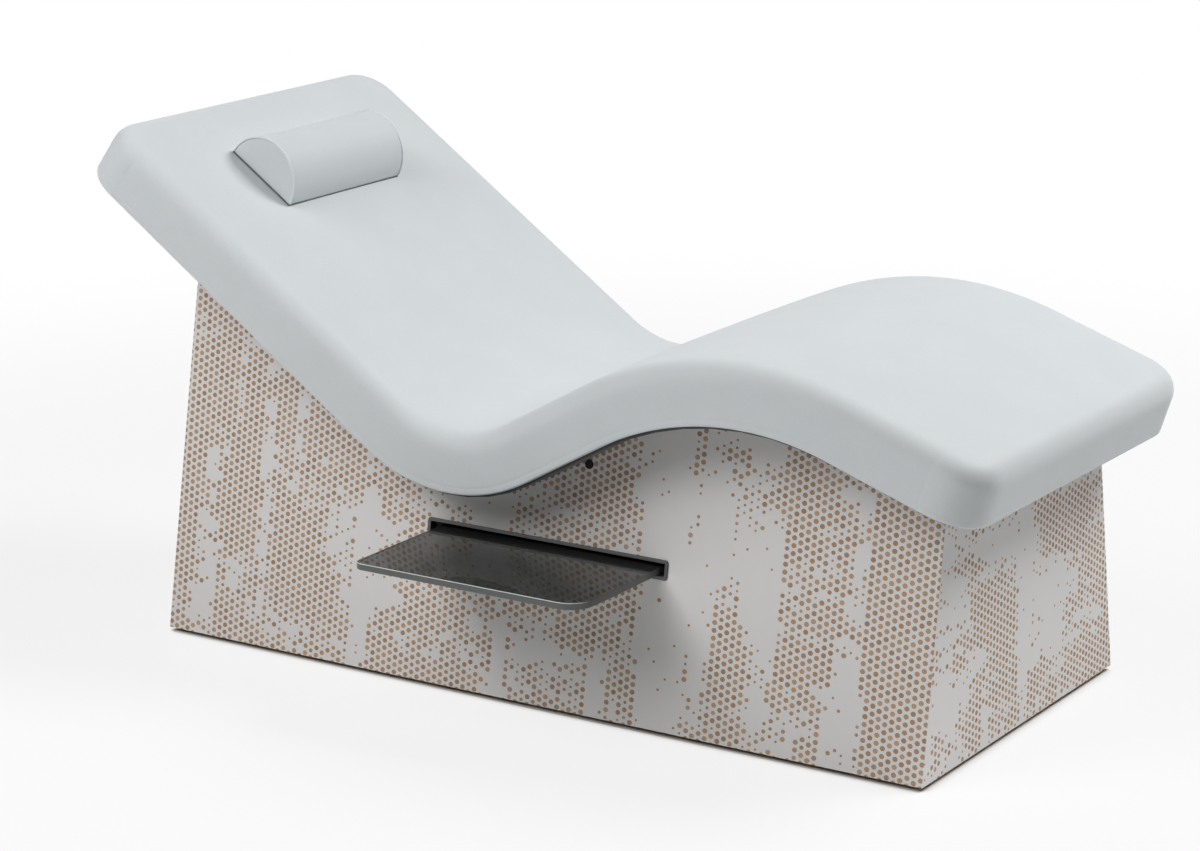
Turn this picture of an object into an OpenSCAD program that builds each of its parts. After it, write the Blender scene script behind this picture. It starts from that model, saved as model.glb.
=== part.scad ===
// Spa relaxation lounger: a wave-shaped upholstered cushion on a tapered box base,
// with a half-round head pillow and a glass shelf that slides out of the base's side.
// X runs from the head end to the foot end, Y across, Z up. The origin is on the floor,
// at the middle of the plinth. Millimetres and degrees.

/* [Cushion] */
// Width of the cushion across the lounger
cushion_w = 800; // [720:10:860]
// Thickness of the upholstered cushion, top face to its lower edge
cushion_t = 106; // [96:1:120]
// Length of the back section, head end to the seat's bend line
back_len = 881; // [850:1:900]
// Length of the thigh section, between the two bend lines
thigh_len = 579; // [560:1:600]
// Length of the calf section, the knee's bend line to the foot end
calf_len = 547; // [530:1:600]
// Slope of the back section
back_angle = 34.8; // [33:0.1:36]
// Slope of the thigh section
thigh_angle = 29.5; // [28:0.1:31]
// Slope of the calf section
calf_angle = 18.8; // [17:0.1:20]
// Radius of the seat's bend, at the top face
seat_r = 200; // [180:1:220]
// Radius of the knee's bend, at the top face
knee_r = 622; // [560:1:640]
// Distance of the seat's bend line from the middle of the base, towards the head
seat_back = 130; // [110:1:150]
// Height of the seat's bend line above the floor
seat_h = 440; // [425:1:460]
// Radius of the cushion's corners in plan
corner_r = 78; // [60:1:100]
// Radius of the rolled top edge
roll_r = 38; // [30:1:40]
// Radius of the lower edge
hem_r = 8; // [5:0.5:10]
// Rise of the top face at mid width
crown_h = 3; // [1:0.5:8]
// Thickness of the upholstery cover
cover_t = 2; // [1.5:0.5:3]
// Thickness of the soft foam layer under the cover
soft_foam_t = 42; // [40:1:48]
// Thickness of the bent plywood deck
deck_t = 15; // [12:1:21]
// Set-back of the deck's edge from the cushion's side
deck_in = 14; // [12:1:20]
// Depth of the deck and its dust cloth below the cushion's lower edge
deck_drop = 5.5; // [4:0.5:7]

/* [Base] */
// Length of the base at its lower edge
base_len = 1545; // [1500:1:1580]
// Width of the base at its lower edge
base_w = 725; // [690:1:760]
// Inward lean of the long sides
side_lean = 9.2; // [7:0.1:10]
// Inward lean of the ends
end_lean = 0.65; // [0.3:0.05:1.5]
// Thickness of the side and end panels
panel_t = 16; // [14:1:19]
// Gap between the panels and the floor
floor_gap = 8; // [5:1:12]
// Thickness of the plinth board
plinth_t = 18; // [15:1:22]
// Set-back of the plinth from the panels' lower edge
plinth_in = 40; // [30:1:60]
// Thickness of the floor board, the bulkheads and the cleats' stock
board_t = 18; // [15:1:21]
// Side of the battens in the corners
batten_w = 30; // [24:1:40]
// Distance of the outer bulkheads from the ends of the base
bulkhead_in = 210; // [180:5:240]
// Width of the cleats under the deck
cleat_w = 32; // [28:1:40]
// Height of the cleats under the deck
cleat_h = 40; // [32:1:50]

/* [Shelf] */
// Width of the glass shelf
shelf_w = 452; // [400:1:520]
// Depth of the glass shelf
shelf_d = 330; // [320:1:345]
// Thickness of the glass shelf
glass_t = 12; // [10:1:12]
// Distance that the pulled-out shelf stands out of the panel
shelf_out = 247; // [235:1:255]
// Distance that the shelf slides in
shelf_travel = 232; // [200:1:240]
// Radius of the shelf's front corner on the head side
shelf_head_r = 18; // [10:1:40]
// Radius of the shelf's front corner on the foot side
shelf_foot_r = 43; // [20:1:60]
// Distance of the slot's middle from the middle of the base, towards the foot
slot_x = 24; // [0:1:40]
// Drop of the slot's middle below the seat's bend line
slot_drop = 163; // [155:1:175]
// Gap between the glass and each end of the slot
slot_side_gap = 12; // [8:1:18]
// Gap between the glass and the slot's upper edge
slot_top_gap = 8.75; // [7:0.25:11]
// Width of the trim frame round the slot
trim_w = 6.5; // [5:0.5:9]
// Thickness of the trim frame in front of the panel
trim_t = 2.5; // [1.5:0.5:3.5]

/* [Pillow] */
// Length of the pillow across the lounger
pillow_len = 336; // [300:2:400]
// Depth of the pillow, down the slope
pillow_w = 154; // [152:2:170]
// Height of the pillow's half-round top above its base
pillow_h = 76; // [66:1:76]
// Distance of the pillow's upper edge from the head end
pillow_down = 139; // [120:1:160]
// Shift of the pillow from the centre line, towards the shelf's side
pillow_shift = 20; // [0:1:30]

/* [Hidden] */

// Shared fits
over = 1;             // overrun of cuts
big = 4000;           // reach of the blocks that halve a panel
rest_gap = 0.3;       // air between soft pieces and what they lie on or in
glass_rise = 0.75;    // height of the glass above the slot's lower edge
slot_w = shelf_w + 2 * slot_side_gap;
slot_h = glass_rise + glass_t + slot_top_gap;
slide_gap = 0.3;      // air round a sliding piece
screw_r = 2;          // shank radius of the wood screws
head_r = 4;           // head radius of the wood screws
head_h = 2.4;         // head height of the wood screws

// The wave, as a line at the top face in X and Z, and its height off the deck
function along(a) = [cos(a), sin(a)];
function square_to(a) = [-sin(a), cos(a)];
seat_point = [-seat_back, seat_h];
head_point = seat_point - back_len * along(-back_angle);
knee_point = seat_point + thigh_len * along(thigh_angle);
foot_point = knee_point + calf_len * along(-calf_angle);
seat_bend = back_angle + thigh_angle;
knee_bend = thigh_angle + calf_angle;
seat_tangent = seat_r * tan(seat_bend / 2);
knee_tangent = knee_r * tan(knee_bend / 2);
arc_share = PI / 180;
s_back = back_len - seat_tangent;
s_seat = s_back + seat_r * seat_bend * arc_share;
s_thigh = s_seat + thigh_len - seat_tangent - knee_tangent;
s_knee = s_thigh + knee_r * knee_bend * arc_share;
s_end = s_knee + calf_len - knee_tangent;
seat_centre = head_point + s_back * along(-back_angle) + seat_r * square_to(-back_angle);
knee_centre = foot_point - (s_end - s_knee) * along(-calf_angle) - knee_r * square_to(-calf_angle);

function wave_angle(s) =
    s < s_back ? -back_angle :
    s < s_seat ? -back_angle + seat_bend * (s - s_back) / (s_seat - s_back) :
    s < s_thigh ? thigh_angle :
    s < s_knee ? thigh_angle - knee_bend * (s - s_thigh) / (s_knee - s_thigh) :
    -calf_angle;
function wave_top(s) =
    s < s_back ? head_point + s * along(-back_angle) :
    s < s_seat ? seat_centre - seat_r * square_to(wave_angle(s)) :
    s < s_thigh ? seat_centre - seat_r * square_to(thigh_angle) + (s - s_seat) * along(thigh_angle) :
    s < s_knee ? knee_centre + knee_r * square_to(wave_angle(s)) :
    foot_point - (s_end - s) * along(-calf_angle);
// Point at distance s along the top face and n above it
function wave(s, n) = wave_top(s) + n * square_to(wave_angle(s));

// Stations along the wave where its outline has points
bend_steps = 8;
corner_steps = 4;
columns = 4;
bend_stations = [
    for (i = [0:bend_steps]) s_back + (s_seat - s_back) * i / bend_steps,
    for (i = [0:bend_steps]) s_thigh + (s_knee - s_thigh) * i / bend_steps];
under_n = -cushion_t - deck_drop;
under_line = [for (s = concat([0], bend_stations, [s_end])) wave(s, under_n)];
function under_z(x) = lookup(x, under_line);
// The underside's line carried on past both ends, where a longer base would follow it
past_head = under_line[0] - cushion_w * along(-back_angle);
past_foot = under_line[len(under_line) - 1] + cushion_w * along(-calf_angle);

// Distance along the wave and half width, for the plan outline drawn in by inset
function side_line(inset) = let(
        half = cushion_w / 2 - corner_r, arc = corner_r - inset,
        turns = [for (i = [0:corner_steps]) 90 * i / corner_steps])
    concat(
        [for (a = turns) [corner_r - arc * cos(a), half + arc * sin(a)]],
        [for (s = bend_stations) [s, half + arc]],
        [for (a = turns) [s_end - corner_r + arc * sin(a), half + arc * cos(a)]]);
last = 2 * corner_steps + len(bend_stations) + 1;
row = columns + 1;
grid = (last + 1) * row;

// Points of one level [inset, n], a grid of rows across the cushion, raised by crown inside
function level_points(level, crown) = let(line = side_line(level[0]), s0 = line[0][0])
    [for (k = [0:last]) for (c = [0:columns]) let(
        s = line[k][0],
        across = 2 * c / columns - 1,
        run = min(1, min(s - s0, s_end - s0 - s) / (corner_r - s0)),
        lift = crown * (1 - across ^ 2) * sin(90 * run),
        p = wave(s, level[1] + lift))
        [p[0], across * line[k][1], p[1]]];
// Edge of a level's grid, once round
rim = concat(
    [for (k = [0:last]) k * row],
    [for (c = [1:columns - 1]) last * row + c],
    [for (k = [last:-1:0]) k * row + columns],
    [for (c = [columns - 1:-1:1]) c]);
function band(a, b) = [for (i = [0:len(rim) - 1]) let(j = (i + 1) % len(rim))
    each [[a + rim[i], b + rim[i], b + rim[j]], [a + rim[i], b + rim[j], a + rim[j]]]];
function sheet_up(a) = [for (k = [0:last - 1]) for (c = [0:columns - 1]) let(p = a + k * row + c)
    each [[p, p + 1, p + row + 1], [p, p + row + 1, p + row]]];
function turned(faces) = [for (f = faces) [f[2], f[1], f[0]]];

// A closed form that follows the wave, through levels from its underside to its top
module bent_solid(levels, crown = 0) {
    top = len(levels) - 1;
    polyhedron(
        points = [for (i = [0:top]) each level_points(levels[i], i == top ? crown : 0)],
        faces = concat(turned(sheet_up(0)), sheet_up(top * grid),
            [for (i = [0:top - 1]) each band(i * grid, (i + 1) * grid)]));
}

// A skin that follows the wave, open underneath: outer levels go up, inner levels go down
module bent_skin(outer, inner, crown) {
    levels = concat(outer, inner);
    top = len(outer) - 1;
    end = len(levels) - 1;
    polyhedron(
        points = [for (i = [0:end])
            each level_points(levels[i], i == top || i == top + 1 ? crown : 0)],
        faces = concat(sheet_up(top * grid), turned(sheet_up((top + 1) * grid)),
            [for (i = [0:end - 1]) if (i != top) each band(i * grid, (i + 1) * grid)],
            band(end * grid, 0)));
}

// Levels of the rolled top edge and the hem, drawn in by d all round
roll_turns = [for (i = [0:4]) 90 * i / 4];
hem_turns = [for (i = [0:2]) 90 * i / 2];
inner_turns = hem_turns;
function roll(d, turns) = [for (a = turns)
    [d + (roll_r - d) * (1 - cos(a)), -roll_r + (roll_r - d) * sin(a)]];
function hem(d, turns) = [for (a = turns)
    [d + (hem_r - d) * (1 - sin(a)), -cushion_t + hem_r - (hem_r - d) * cos(a)]];
function reversed(list) = [for (i = [len(list) - 1:-1:0]) list[i]];

// Levels between the pieces of the cushion
flap_high = -cushion_t + cover_t;
deck_low = under_n + cover_t;
deck_high = deck_low + deck_t;
flap_in = deck_in - rest_gap;
foam_split = -cover_t - soft_foam_t;

module cushion_cover() color([0.83, 0.85, 0.86])
    bent_skin(
        concat([[flap_in, -cushion_t]], hem(0, hem_turns), roll(0, roll_turns)),
        concat(reversed(roll(cover_t, inner_turns)), reversed(hem(cover_t, [0, 90])),
            [[flap_in, flap_high]]),
        crown_h);

foam_in = cover_t + rest_gap;
module firm_foam() color([0.93, 0.88, 0.72])
    bent_solid(concat(
        [[flap_in, deck_high + rest_gap], [flap_in, flap_high + rest_gap],
            [hem_r, flap_high + rest_gap], [foam_in, -cushion_t + hem_r]],
        [[foam_in, foam_split]]));
module soft_foam() color([0.96, 0.94, 0.86])
    bent_solid(concat([[foam_in, foam_split + rest_gap]], roll(foam_in, inner_turns)), crown_h);

module deck_board() color([0.80, 0.66, 0.46])
    difference() {
        bent_solid([[deck_in, deck_low], [deck_in, deck_high]]);
        deck_screw_shapes();
    }
module dust_cover() color([0.12, 0.12, 0.13])
    difference() {
        bent_solid([[deck_in, under_n], [deck_in, deck_low]]);
        deck_screw_shapes();
    }

// The tapered box of the base. inset moves every wall in, square to its own face.
env_top = knee_point[1] + back_len;
function lean_in(z, lean) = (z - floor_gap) * tan(lean);
slot_z = seat_h - slot_drop;
shelf_reach = base_w / 2 - lean_in(slot_z, side_lean) + shelf_out;
module taper(half, lean, inset, low, length)
    linear_extrude(length, center = true)
        let(h = half - inset / cos(lean))
            polygon([
                [-h + lean_in(low, lean), low], [h - lean_in(low, lean), low],
                [h - lean_in(env_top, lean), env_top], [-h + lean_in(env_top, lean), env_top]]);
module side_taper(inset, low) rotate([90, 0, 90]) taper(base_w / 2, side_lean, inset, low, base_len);
module end_taper(inset, low) rotate([90, 0, 0]) taper(base_len / 2, end_lean, inset, low, base_w);
module envelope(inset, low) intersection() {
    side_taper(inset, low);
    end_taper(inset, low);
}
module below_cushion(drop = 0) rotate([90, 0, 0])
    linear_extrude(cushion_w + base_w, center = true)
        translate([0, -drop])
            polygon([each under_line, past_foot, [past_foot[0], -over], [past_head[0], -over], past_head]);

// A block that fills the space ahead of a plane through point
module ahead(point, normal) let(n = normal / norm(normal))
    translate(point) rotate([0, acos(n[2]), atan2(n[1], n[0])])
        translate([-big / 2, -big / 2, 0]) cube(big);
function corner(x_sign, y_sign) = [x_sign * base_len / 2, y_sign * base_w / 2, floor_gap];
function side_normal(y_sign) = [0, y_sign * cos(side_lean), sin(side_lean)];
function end_normal(x_sign) = [x_sign * cos(end_lean), 0, sin(end_lean)];

module walls() difference() {
    intersection() {
        envelope(0, floor_gap);
        below_cushion();
    }
    envelope(panel_t, 0);
}
module side_panel(y_sign) intersection() {
    walls();
    ahead([0, 0, 0], [0, y_sign, 0]);
    ahead(corner(1, y_sign), side_normal(y_sign) - end_normal(1));
    ahead(corner(-1, y_sign), side_normal(y_sign) - end_normal(-1));
}
module end_panel(x_sign) intersection() {
    walls();
    ahead(corner(x_sign, 1), end_normal(x_sign) - side_normal(1));
    ahead(corner(x_sign, -1), end_normal(x_sign) - side_normal(-1));
}

// Frames on the outer faces: X along the wall, Y into the base, Z up the wall
module on_side(y_sign) translate([0, y_sign * base_w / 2, floor_gap])
    mirror([0, y_sign > 0 ? 1 : 0, 0]) rotate([-side_lean, 0, 0]) children();
module on_end(x_sign) translate([x_sign * base_len / 2, 0, floor_gap])
    mirror([x_sign > 0 ? 1 : 0, 0, 0]) rotate([0, end_lean, 0]) rotate([0, 0, -90]) children();

panel_color = [0.78, 0.78, 0.78];
grommet_r = 8;
grommet_x = 97;
grommet_drop = 10;
grommet_z = under_z(grommet_x) - grommet_drop;
grommet_bore_r = 6;
grommet_lip = 2;
trim_sleeve = 1.5;
sleeve_gap = 0.2;
function up_wall(z) = (z - floor_gap) / cos(side_lean);

module shelf_side_panel() color(panel_color)
    difference() {
        side_panel(-1);
        on_side(-1) {
            translate([slot_x, panel_t / 2, up_wall(slot_z)])
                cube([slot_w + 2 * (trim_sleeve + sleeve_gap), panel_t + 2 * over,
                    slot_h + 2 * (trim_sleeve + sleeve_gap)], center = true);
            translate([grommet_x, -over, up_wall(grommet_z)])
                rotate([-90, 0, 0]) cylinder(r = grommet_bore_r, h = panel_t + 2 * over);
        }
        panel_screw_shapes();
    }
module plain_side_panel() color(panel_color)
    difference() {
        side_panel(1);
        panel_screw_shapes();
    }
module head_panel() color(panel_color)
    difference() {
        end_panel(-1);
        panel_screw_shapes();
    }
module foot_panel() color(panel_color)
    difference() {
        end_panel(1);
        panel_screw_shapes();
    }

// Rubber plug in the shelf side, close under the cushion
module cable_grommet() color([0.05, 0.05, 0.05])
    on_side(-1) translate([grommet_x, 0, up_wall(grommet_z)]) rotate([-90, 0, 0]) {
        translate([0, 0, -grommet_lip]) cylinder(r = grommet_r, h = grommet_lip);
        cylinder(r = grommet_bore_r - sleeve_gap / 2, h = panel_t);
    }

// Plinth and floor of the base
module plinth_board() color([0.09, 0.09, 0.10])
    difference() {
        translate([-base_len / 2 + plinth_in, -base_w / 2 + plinth_in, 0])
            cube([base_len - 2 * plinth_in, base_w - 2 * plinth_in, plinth_t]);
        plinth_screw_shapes();
    }
floor_top = plinth_t + board_t;
module floor_board() color([0.80, 0.68, 0.50])
    difference() {
        intersection() {
            envelope(panel_t, 0);
            translate([-base_len / 2, -base_w / 2, plinth_t]) cube([base_len, base_w, board_t]);
        }
        plinth_screw_shapes();
    }

// The tray that holds the shelf's rails, between the two middle bulkheads
tray_wall = 9;
tray_floor = 6;
lid_gap = 6;
rail_wall = 2;
rail_depth = 14;
bar_end = 14;         // length of the clamp bar beyond each side of the glass
bar_grip = 26;        // depth of the clamp bar over the glass
bar_tail = 10;        // depth of the clamp bar behind the glass
bar_wall = 2;         // wall of the clamp bar over and under the glass
bar_clear = 1;        // air above and below the clamp bar in the rails
shoe_len = 15;
shoe_d = 42;
stop_l = 12;
gasket_t = 1;
bar_h = glass_t + 2 * (gasket_t + bar_wall);
channel_h = bar_h + 2 * bar_clear;
bar_half = shelf_w / 2 + bar_end;
shoe_half = bar_half + shoe_len;
rail_half = shoe_half + slide_gap + rail_wall;
tray_half = rail_half + tray_wall;
glass_low = slot_z - slot_h / 2 + glass_rise;
shelf_z = glass_low + glass_t / 2;
rail_low = shelf_z - channel_h / 2 - rail_wall;
rail_high = shelf_z + channel_h / 2 + rail_wall;
tray_low = rail_low - tray_floor;
lid_low = rail_high + lid_gap;
bar_front = shelf_d - shelf_reach - bar_grip;
bar_back = shelf_d - shelf_reach + bar_tail;
tray_back = bar_back + shelf_travel + slide_gap + stop_l;
rail_set = 12;        // set-back of the rails from the panel's inner face
rail_front = -base_w / 2 + lean_in(rail_high, side_lean) + panel_t / cos(side_lean) + rail_set;

bulkhead_places = [
    -base_len / 2 + bulkhead_in, slot_x - tray_half - board_t / 2,
    slot_x + tray_half + board_t / 2, base_len / 2 - bulkhead_in];
module bulkhead(x) color([0.80, 0.68, 0.50])
    difference() {
        intersection() {
            envelope(panel_t, floor_gap);
            below_cushion();
            translate([x - board_t / 2, -base_w / 2, floor_top]) cube([board_t, base_w, big]);
        }
        rail_screw_shapes();
    }
module head_bulkhead() bulkhead(bulkhead_places[0]);
module shelf_bulkhead_head() bulkhead(bulkhead_places[1]);
module shelf_bulkhead_foot() bulkhead(bulkhead_places[2]);
module foot_bulkhead() bulkhead(bulkhead_places[3]);

batten_drop = 60;
module corner_battens() color([0.86, 0.74, 0.54])
    difference() {
        intersection() {
            envelope(panel_t, floor_gap);
            below_cushion(batten_drop);
            translate([-base_len / 2, -base_w / 2, floor_top]) cube([base_len, base_w, big]);
        }
        side_taper(panel_t + batten_w, 0);
        end_taper(panel_t + batten_w, 0);
        panel_screw_shapes();
    }

cleat_share = 0.58;
cleat_len = base_w * cleat_share;
module deck_cleats() color([0.86, 0.74, 0.54])
    difference() {
        for (x = bulkhead_places) let(side = x < 0 ? 1 : -1)
            intersection() {
                difference() {
                    below_cushion();
                    below_cushion(cleat_h);
                }
                translate([x + side * (board_t + cleat_w) / 2 - cleat_w / 2, -cleat_len / 2, 0])
                    cube([cleat_w, cleat_len, big]);
            }
        deck_screw_shapes();
    }

// Screws, as shapes that also cut their holes
module wood_screw(length) {
    cylinder(r = screw_r, h = length);
    cylinder(r1 = head_r, r2 = screw_r, h = head_h);
}
deck_bite = 10;
deck_screw_in = 60;
deck_row = cleat_len / 2 - deck_screw_in;
module deck_screw_shapes()
    for (x = bulkhead_places) for (y = [-deck_row, deck_row])
        let(xs = x + (x < 0 ? 1 : -1) * (board_t + cleat_w) / 2)
            translate([xs, y, under_z(xs) - cleat_h]) wood_screw(cleat_h + cover_t + deck_bite);
module deck_screws() color([0.75, 0.76, 0.78]) deck_screw_shapes();

plinth_rows = 3;
plinth_screw_in = 70;
module plinth_screw_shapes() let(
        x0 = base_len / 2 - plinth_in - plinth_screw_in, y0 = base_w / 2 - plinth_in - plinth_screw_in,
        length = floor_top - plinth_t / 3)
    for (i = [0:plinth_rows - 1]) for (y = [-y0, y0])
        translate([-x0 + 2 * x0 * i / (plinth_rows - 1), y, floor_top])
            rotate([180, 0, 0]) wood_screw(length);
module plinth_screws() color([0.75, 0.76, 0.78]) plinth_screw_shapes();

panel_bite = 10;
panel_screw_shares = [0.12, 0.42, 0.72];
// Heights of the screws up the corner battens, at the head end (-1) or the foot end (1)
function batten_height(x_sign) = under_z(x_sign * (base_len / 2 - panel_t)) - batten_drop - floor_top;
function panel_screw_zs(x_sign) = [for (share = panel_screw_shares)
    floor_top - floor_gap + share * batten_height(x_sign)];
module panel_screw_shapes() let(length = batten_w + panel_bite, seat = panel_t + batten_w) {
    for (y_sign = [-1, 1]) on_side(y_sign) for (x_sign = [-1, 1]) for (z = panel_screw_zs(x_sign))
        translate([x_sign * (base_len / 2 - panel_t - batten_w / 2), seat, z])
            rotate([90, 0, 0]) wood_screw(length);
    for (x_sign = [-1, 1]) on_end(x_sign) for (y_sign = [-1, 1]) for (z0 = panel_screw_zs(x_sign))
        let(z = z0 + batten_w / 2)
            translate([y_sign * (base_w / 2 - panel_t - batten_w / 2 - z * tan(side_lean)), seat, z])
                rotate([90, 0, 0]) wood_screw(length);
}
module panel_screws() color([0.75, 0.76, 0.78]) panel_screw_shapes();

rail_screw_bite = 12;
rail_screw_count = 3;
rail_head_h = 1.6;
rail_head_r = 3.4;
module rail_screw_shapes()
    for (x_sign = [-1, 1]) for (i = [1:rail_screw_count])
        translate([slot_x + x_sign * (rail_half - rail_wall),
            rail_front + (tray_back - rail_front) * i / (rail_screw_count + 1), shelf_z])
            rotate([0, x_sign * 90, 0]) {
                cylinder(r = screw_r, h = rail_wall + tray_wall + rail_screw_bite);
                cylinder(r1 = rail_head_r, r2 = screw_r, h = rail_head_h);
            }
module rail_screws() color([0.75, 0.76, 0.78]) rail_screw_shapes();

// Tray, lid, rails, glide and stops behind the slot
tray_color = [0.10, 0.10, 0.11];
module tray_block(half, front, back, low, high) intersection() {
    envelope(panel_t, 0);
    translate([slot_x - half, front, low]) cube([2 * half, back - front, high - low]);
}
module shelf_tray() color(tray_color)
    difference() {
        tray_block(tray_half, -base_w / 2, tray_back + tray_wall, tray_low, lid_low);
        translate([slot_x - rail_half, -base_w, rail_low])
            cube([2 * rail_half, base_w + tray_back, big]);
        rail_screw_shapes();
        lid_screw_shapes();
    }
module tray_lid() color(tray_color)
    difference() {
        tray_block(tray_half, -base_w / 2, tray_back + tray_wall, lid_low, lid_low + tray_floor);
        lid_screw_shapes();
    }
lid_screw_r = 1.5;
lid_screw_l = 20;
lid_head_r = 3;
lid_head_h = 1.8;
module lid_screw_shapes()
    for (x_sign = [-1, 1]) for (i = [1:rail_screw_count])
        translate([slot_x + x_sign * (tray_half - tray_wall / 2),
            rail_front + (tray_back - rail_front) * i / (rail_screw_count + 1), lid_low + tray_floor])
            rotate([180, 0, 0]) {
                cylinder(r = lid_screw_r, h = lid_screw_l);
                cylinder(r1 = lid_head_r, r2 = lid_screw_r, h = lid_head_h);
            }
module lid_screws() color([0.75, 0.76, 0.78]) lid_screw_shapes();

module side_rail(x_sign) color([0.78, 0.79, 0.80])
    difference() {
        translate([slot_x, 0, 0]) mirror([x_sign < 0 ? 1 : 0, 0, 0]) difference() {
            translate([rail_half - rail_depth, rail_front, rail_low])
                cube([rail_depth, tray_back - rail_front, rail_high - rail_low]);
            translate([rail_half - rail_depth - over, rail_front - over, rail_low + rail_wall])
                cube([rail_depth + over - rail_wall, tray_back - rail_front + 2 * over, channel_h]);
        }
        rail_screw_shapes();
    }
module head_side_rail() side_rail(-1);
module foot_side_rail() side_rail(1);

glide_d = 18;
glide_in = 11;        // set-back of the glide's ends from the glass's sides
glide_w = shelf_w - 2 * glide_in;
module front_glide() color([0.92, 0.92, 0.90])
    translate([slot_x - glide_w / 2, rail_front, rail_low])
        cube([glide_w, glide_d, glass_low - slide_gap - rail_low]);

stop_clear = 1;
stop_w = bar_end - 2 * stop_clear;
module stop_pair(x, w, y) color([0.06, 0.06, 0.06])
    for (x_sign = [-1, 1]) translate([slot_x + x_sign * x - w / 2, y, rail_low])
        cube([w, stop_l, rail_high - rail_low]);
module front_stops() stop_pair(bar_half - stop_clear - stop_w / 2, stop_w, bar_front - slide_gap - stop_l);
rear_stop_w = 40;
module rear_stops() stop_pair(shelf_w / 4, rear_stop_w, tray_back - stop_l);

// Trim frame with a sleeve through the panel
trim_corner_r = 6;
module slot_trim() color([0.20, 0.20, 0.21])
    on_side(-1) translate([slot_x, 0, up_wall(slot_z)]) rotate([-90, 0, 0])
        difference() {
            union() {
                translate([0, 0, -trim_t]) linear_extrude(trim_t)
                    rounded_bar(slot_w / 2 + trim_w, slot_h / 2 + trim_w, trim_corner_r);
                linear_extrude(panel_t)
                    square([slot_w + 2 * trim_sleeve, slot_h + 2 * trim_sleeve], center = true);
            }
            translate([0, 0, -trim_t - over]) linear_extrude(panel_t + trim_t + 2 * over)
                square([slot_w, slot_h], center = true);
        }
module rounded_bar(half_x, half_y, r) {
    square([2 * half_x, 2 * (half_y - r)], center = true);
    square([2 * (half_x - r), 2 * half_y], center = true);
    for (x = [-1, 1]) for (y = [-1, 1])
        translate([x * (half_x - r), y * (half_y - r)]) circle(r, $fn = 48);
}

// The sliding shelf
module glass_outline() let(half = shelf_w / 2) difference() {
    translate([-half, -shelf_reach]) square([shelf_w, shelf_d]);
    translate([-half, -shelf_reach]) corner_cut(shelf_head_r);
    mirror([1, 0]) translate([-half, -shelf_reach]) corner_cut(shelf_foot_r);
}
module corner_cut(r) difference() {
    translate([-over, -over]) square(r + over);
    translate([r, r]) circle(r, $fn = 64);
}
module glass_shelf() color([0.30, 0.33, 0.32, 0.6])
    translate([slot_x, 0, glass_low]) linear_extrude(glass_t) glass_outline();

module clamp_block(grow, tail) translate([slot_x - bar_half, bar_front, shelf_z - glass_t / 2 - grow])
    cube([2 * bar_half, bar_grip + tail, glass_t + 2 * grow]);
module shelf_clamp_bar() color([0.72, 0.73, 0.75])
    difference() {
        translate([slot_x - bar_half, bar_front, shelf_z - bar_h / 2])
            cube([2 * bar_half, bar_back - bar_front, bar_h]);
        translate([0, -over, 0]) clamp_block(gasket_t, gasket_t + over);
        shoe_screw_shapes();
    }
module clamp_gasket() color([0.15, 0.15, 0.15])
    difference() {
        clamp_block(gasket_t, gasket_t);
        translate([slot_x - shelf_w / 2, -shelf_reach, glass_low]) cube([shelf_w, shelf_d, glass_t]);
    }
module shoe(x_sign) color([0.92, 0.92, 0.90])
    difference() {
        translate([slot_x, 0, 0]) mirror([x_sign < 0 ? 1 : 0, 0, 0])
            translate([bar_half, bar_back - shoe_d, shelf_z - channel_h / 2 + slide_gap])
                cube([shoe_len, shoe_d, channel_h - 2 * slide_gap]);
        shoe_screw_shapes();
    }
module head_side_shoe() shoe(-1);
module foot_side_shoe() shoe(1);
shoe_screw_l = 35;
module shoe_screw_shapes()
    for (x_sign = [-1, 1])
        translate([slot_x + x_sign * shoe_half, bar_back - bar_tail / 2, shelf_z])
            rotate([0, -x_sign * 90, 0]) wood_screw(shoe_screw_l);
module shoe_screws() color([0.75, 0.76, 0.78]) shoe_screw_shapes();

// The pillow, drawn on its flat base: X down the slope, Y across, Z off the cushion
pillow_s = pillow_down + pillow_w / 2;
pillow_skin = 1.5;
pillow_base_t = 2.5;
pillow_base_in = 1;
pillow_edge_r = 4;
pillow_swell = 2;     // growth of the radius from the ends to the middle
pillow_dome = 3;
pillow_rings = 6;
pillow_steps = 16;
pillow_r = (pillow_w ^ 2 / 4 + pillow_h ^ 2) / (2 * pillow_h);
pillow_sink = pillow_r - pillow_h;
module on_back() let(p = wave(pillow_s, crown_h + rest_gap))
    translate([p[0], -pillow_shift, p[1]]) rotate([0, back_angle, 0]) children();

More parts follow.
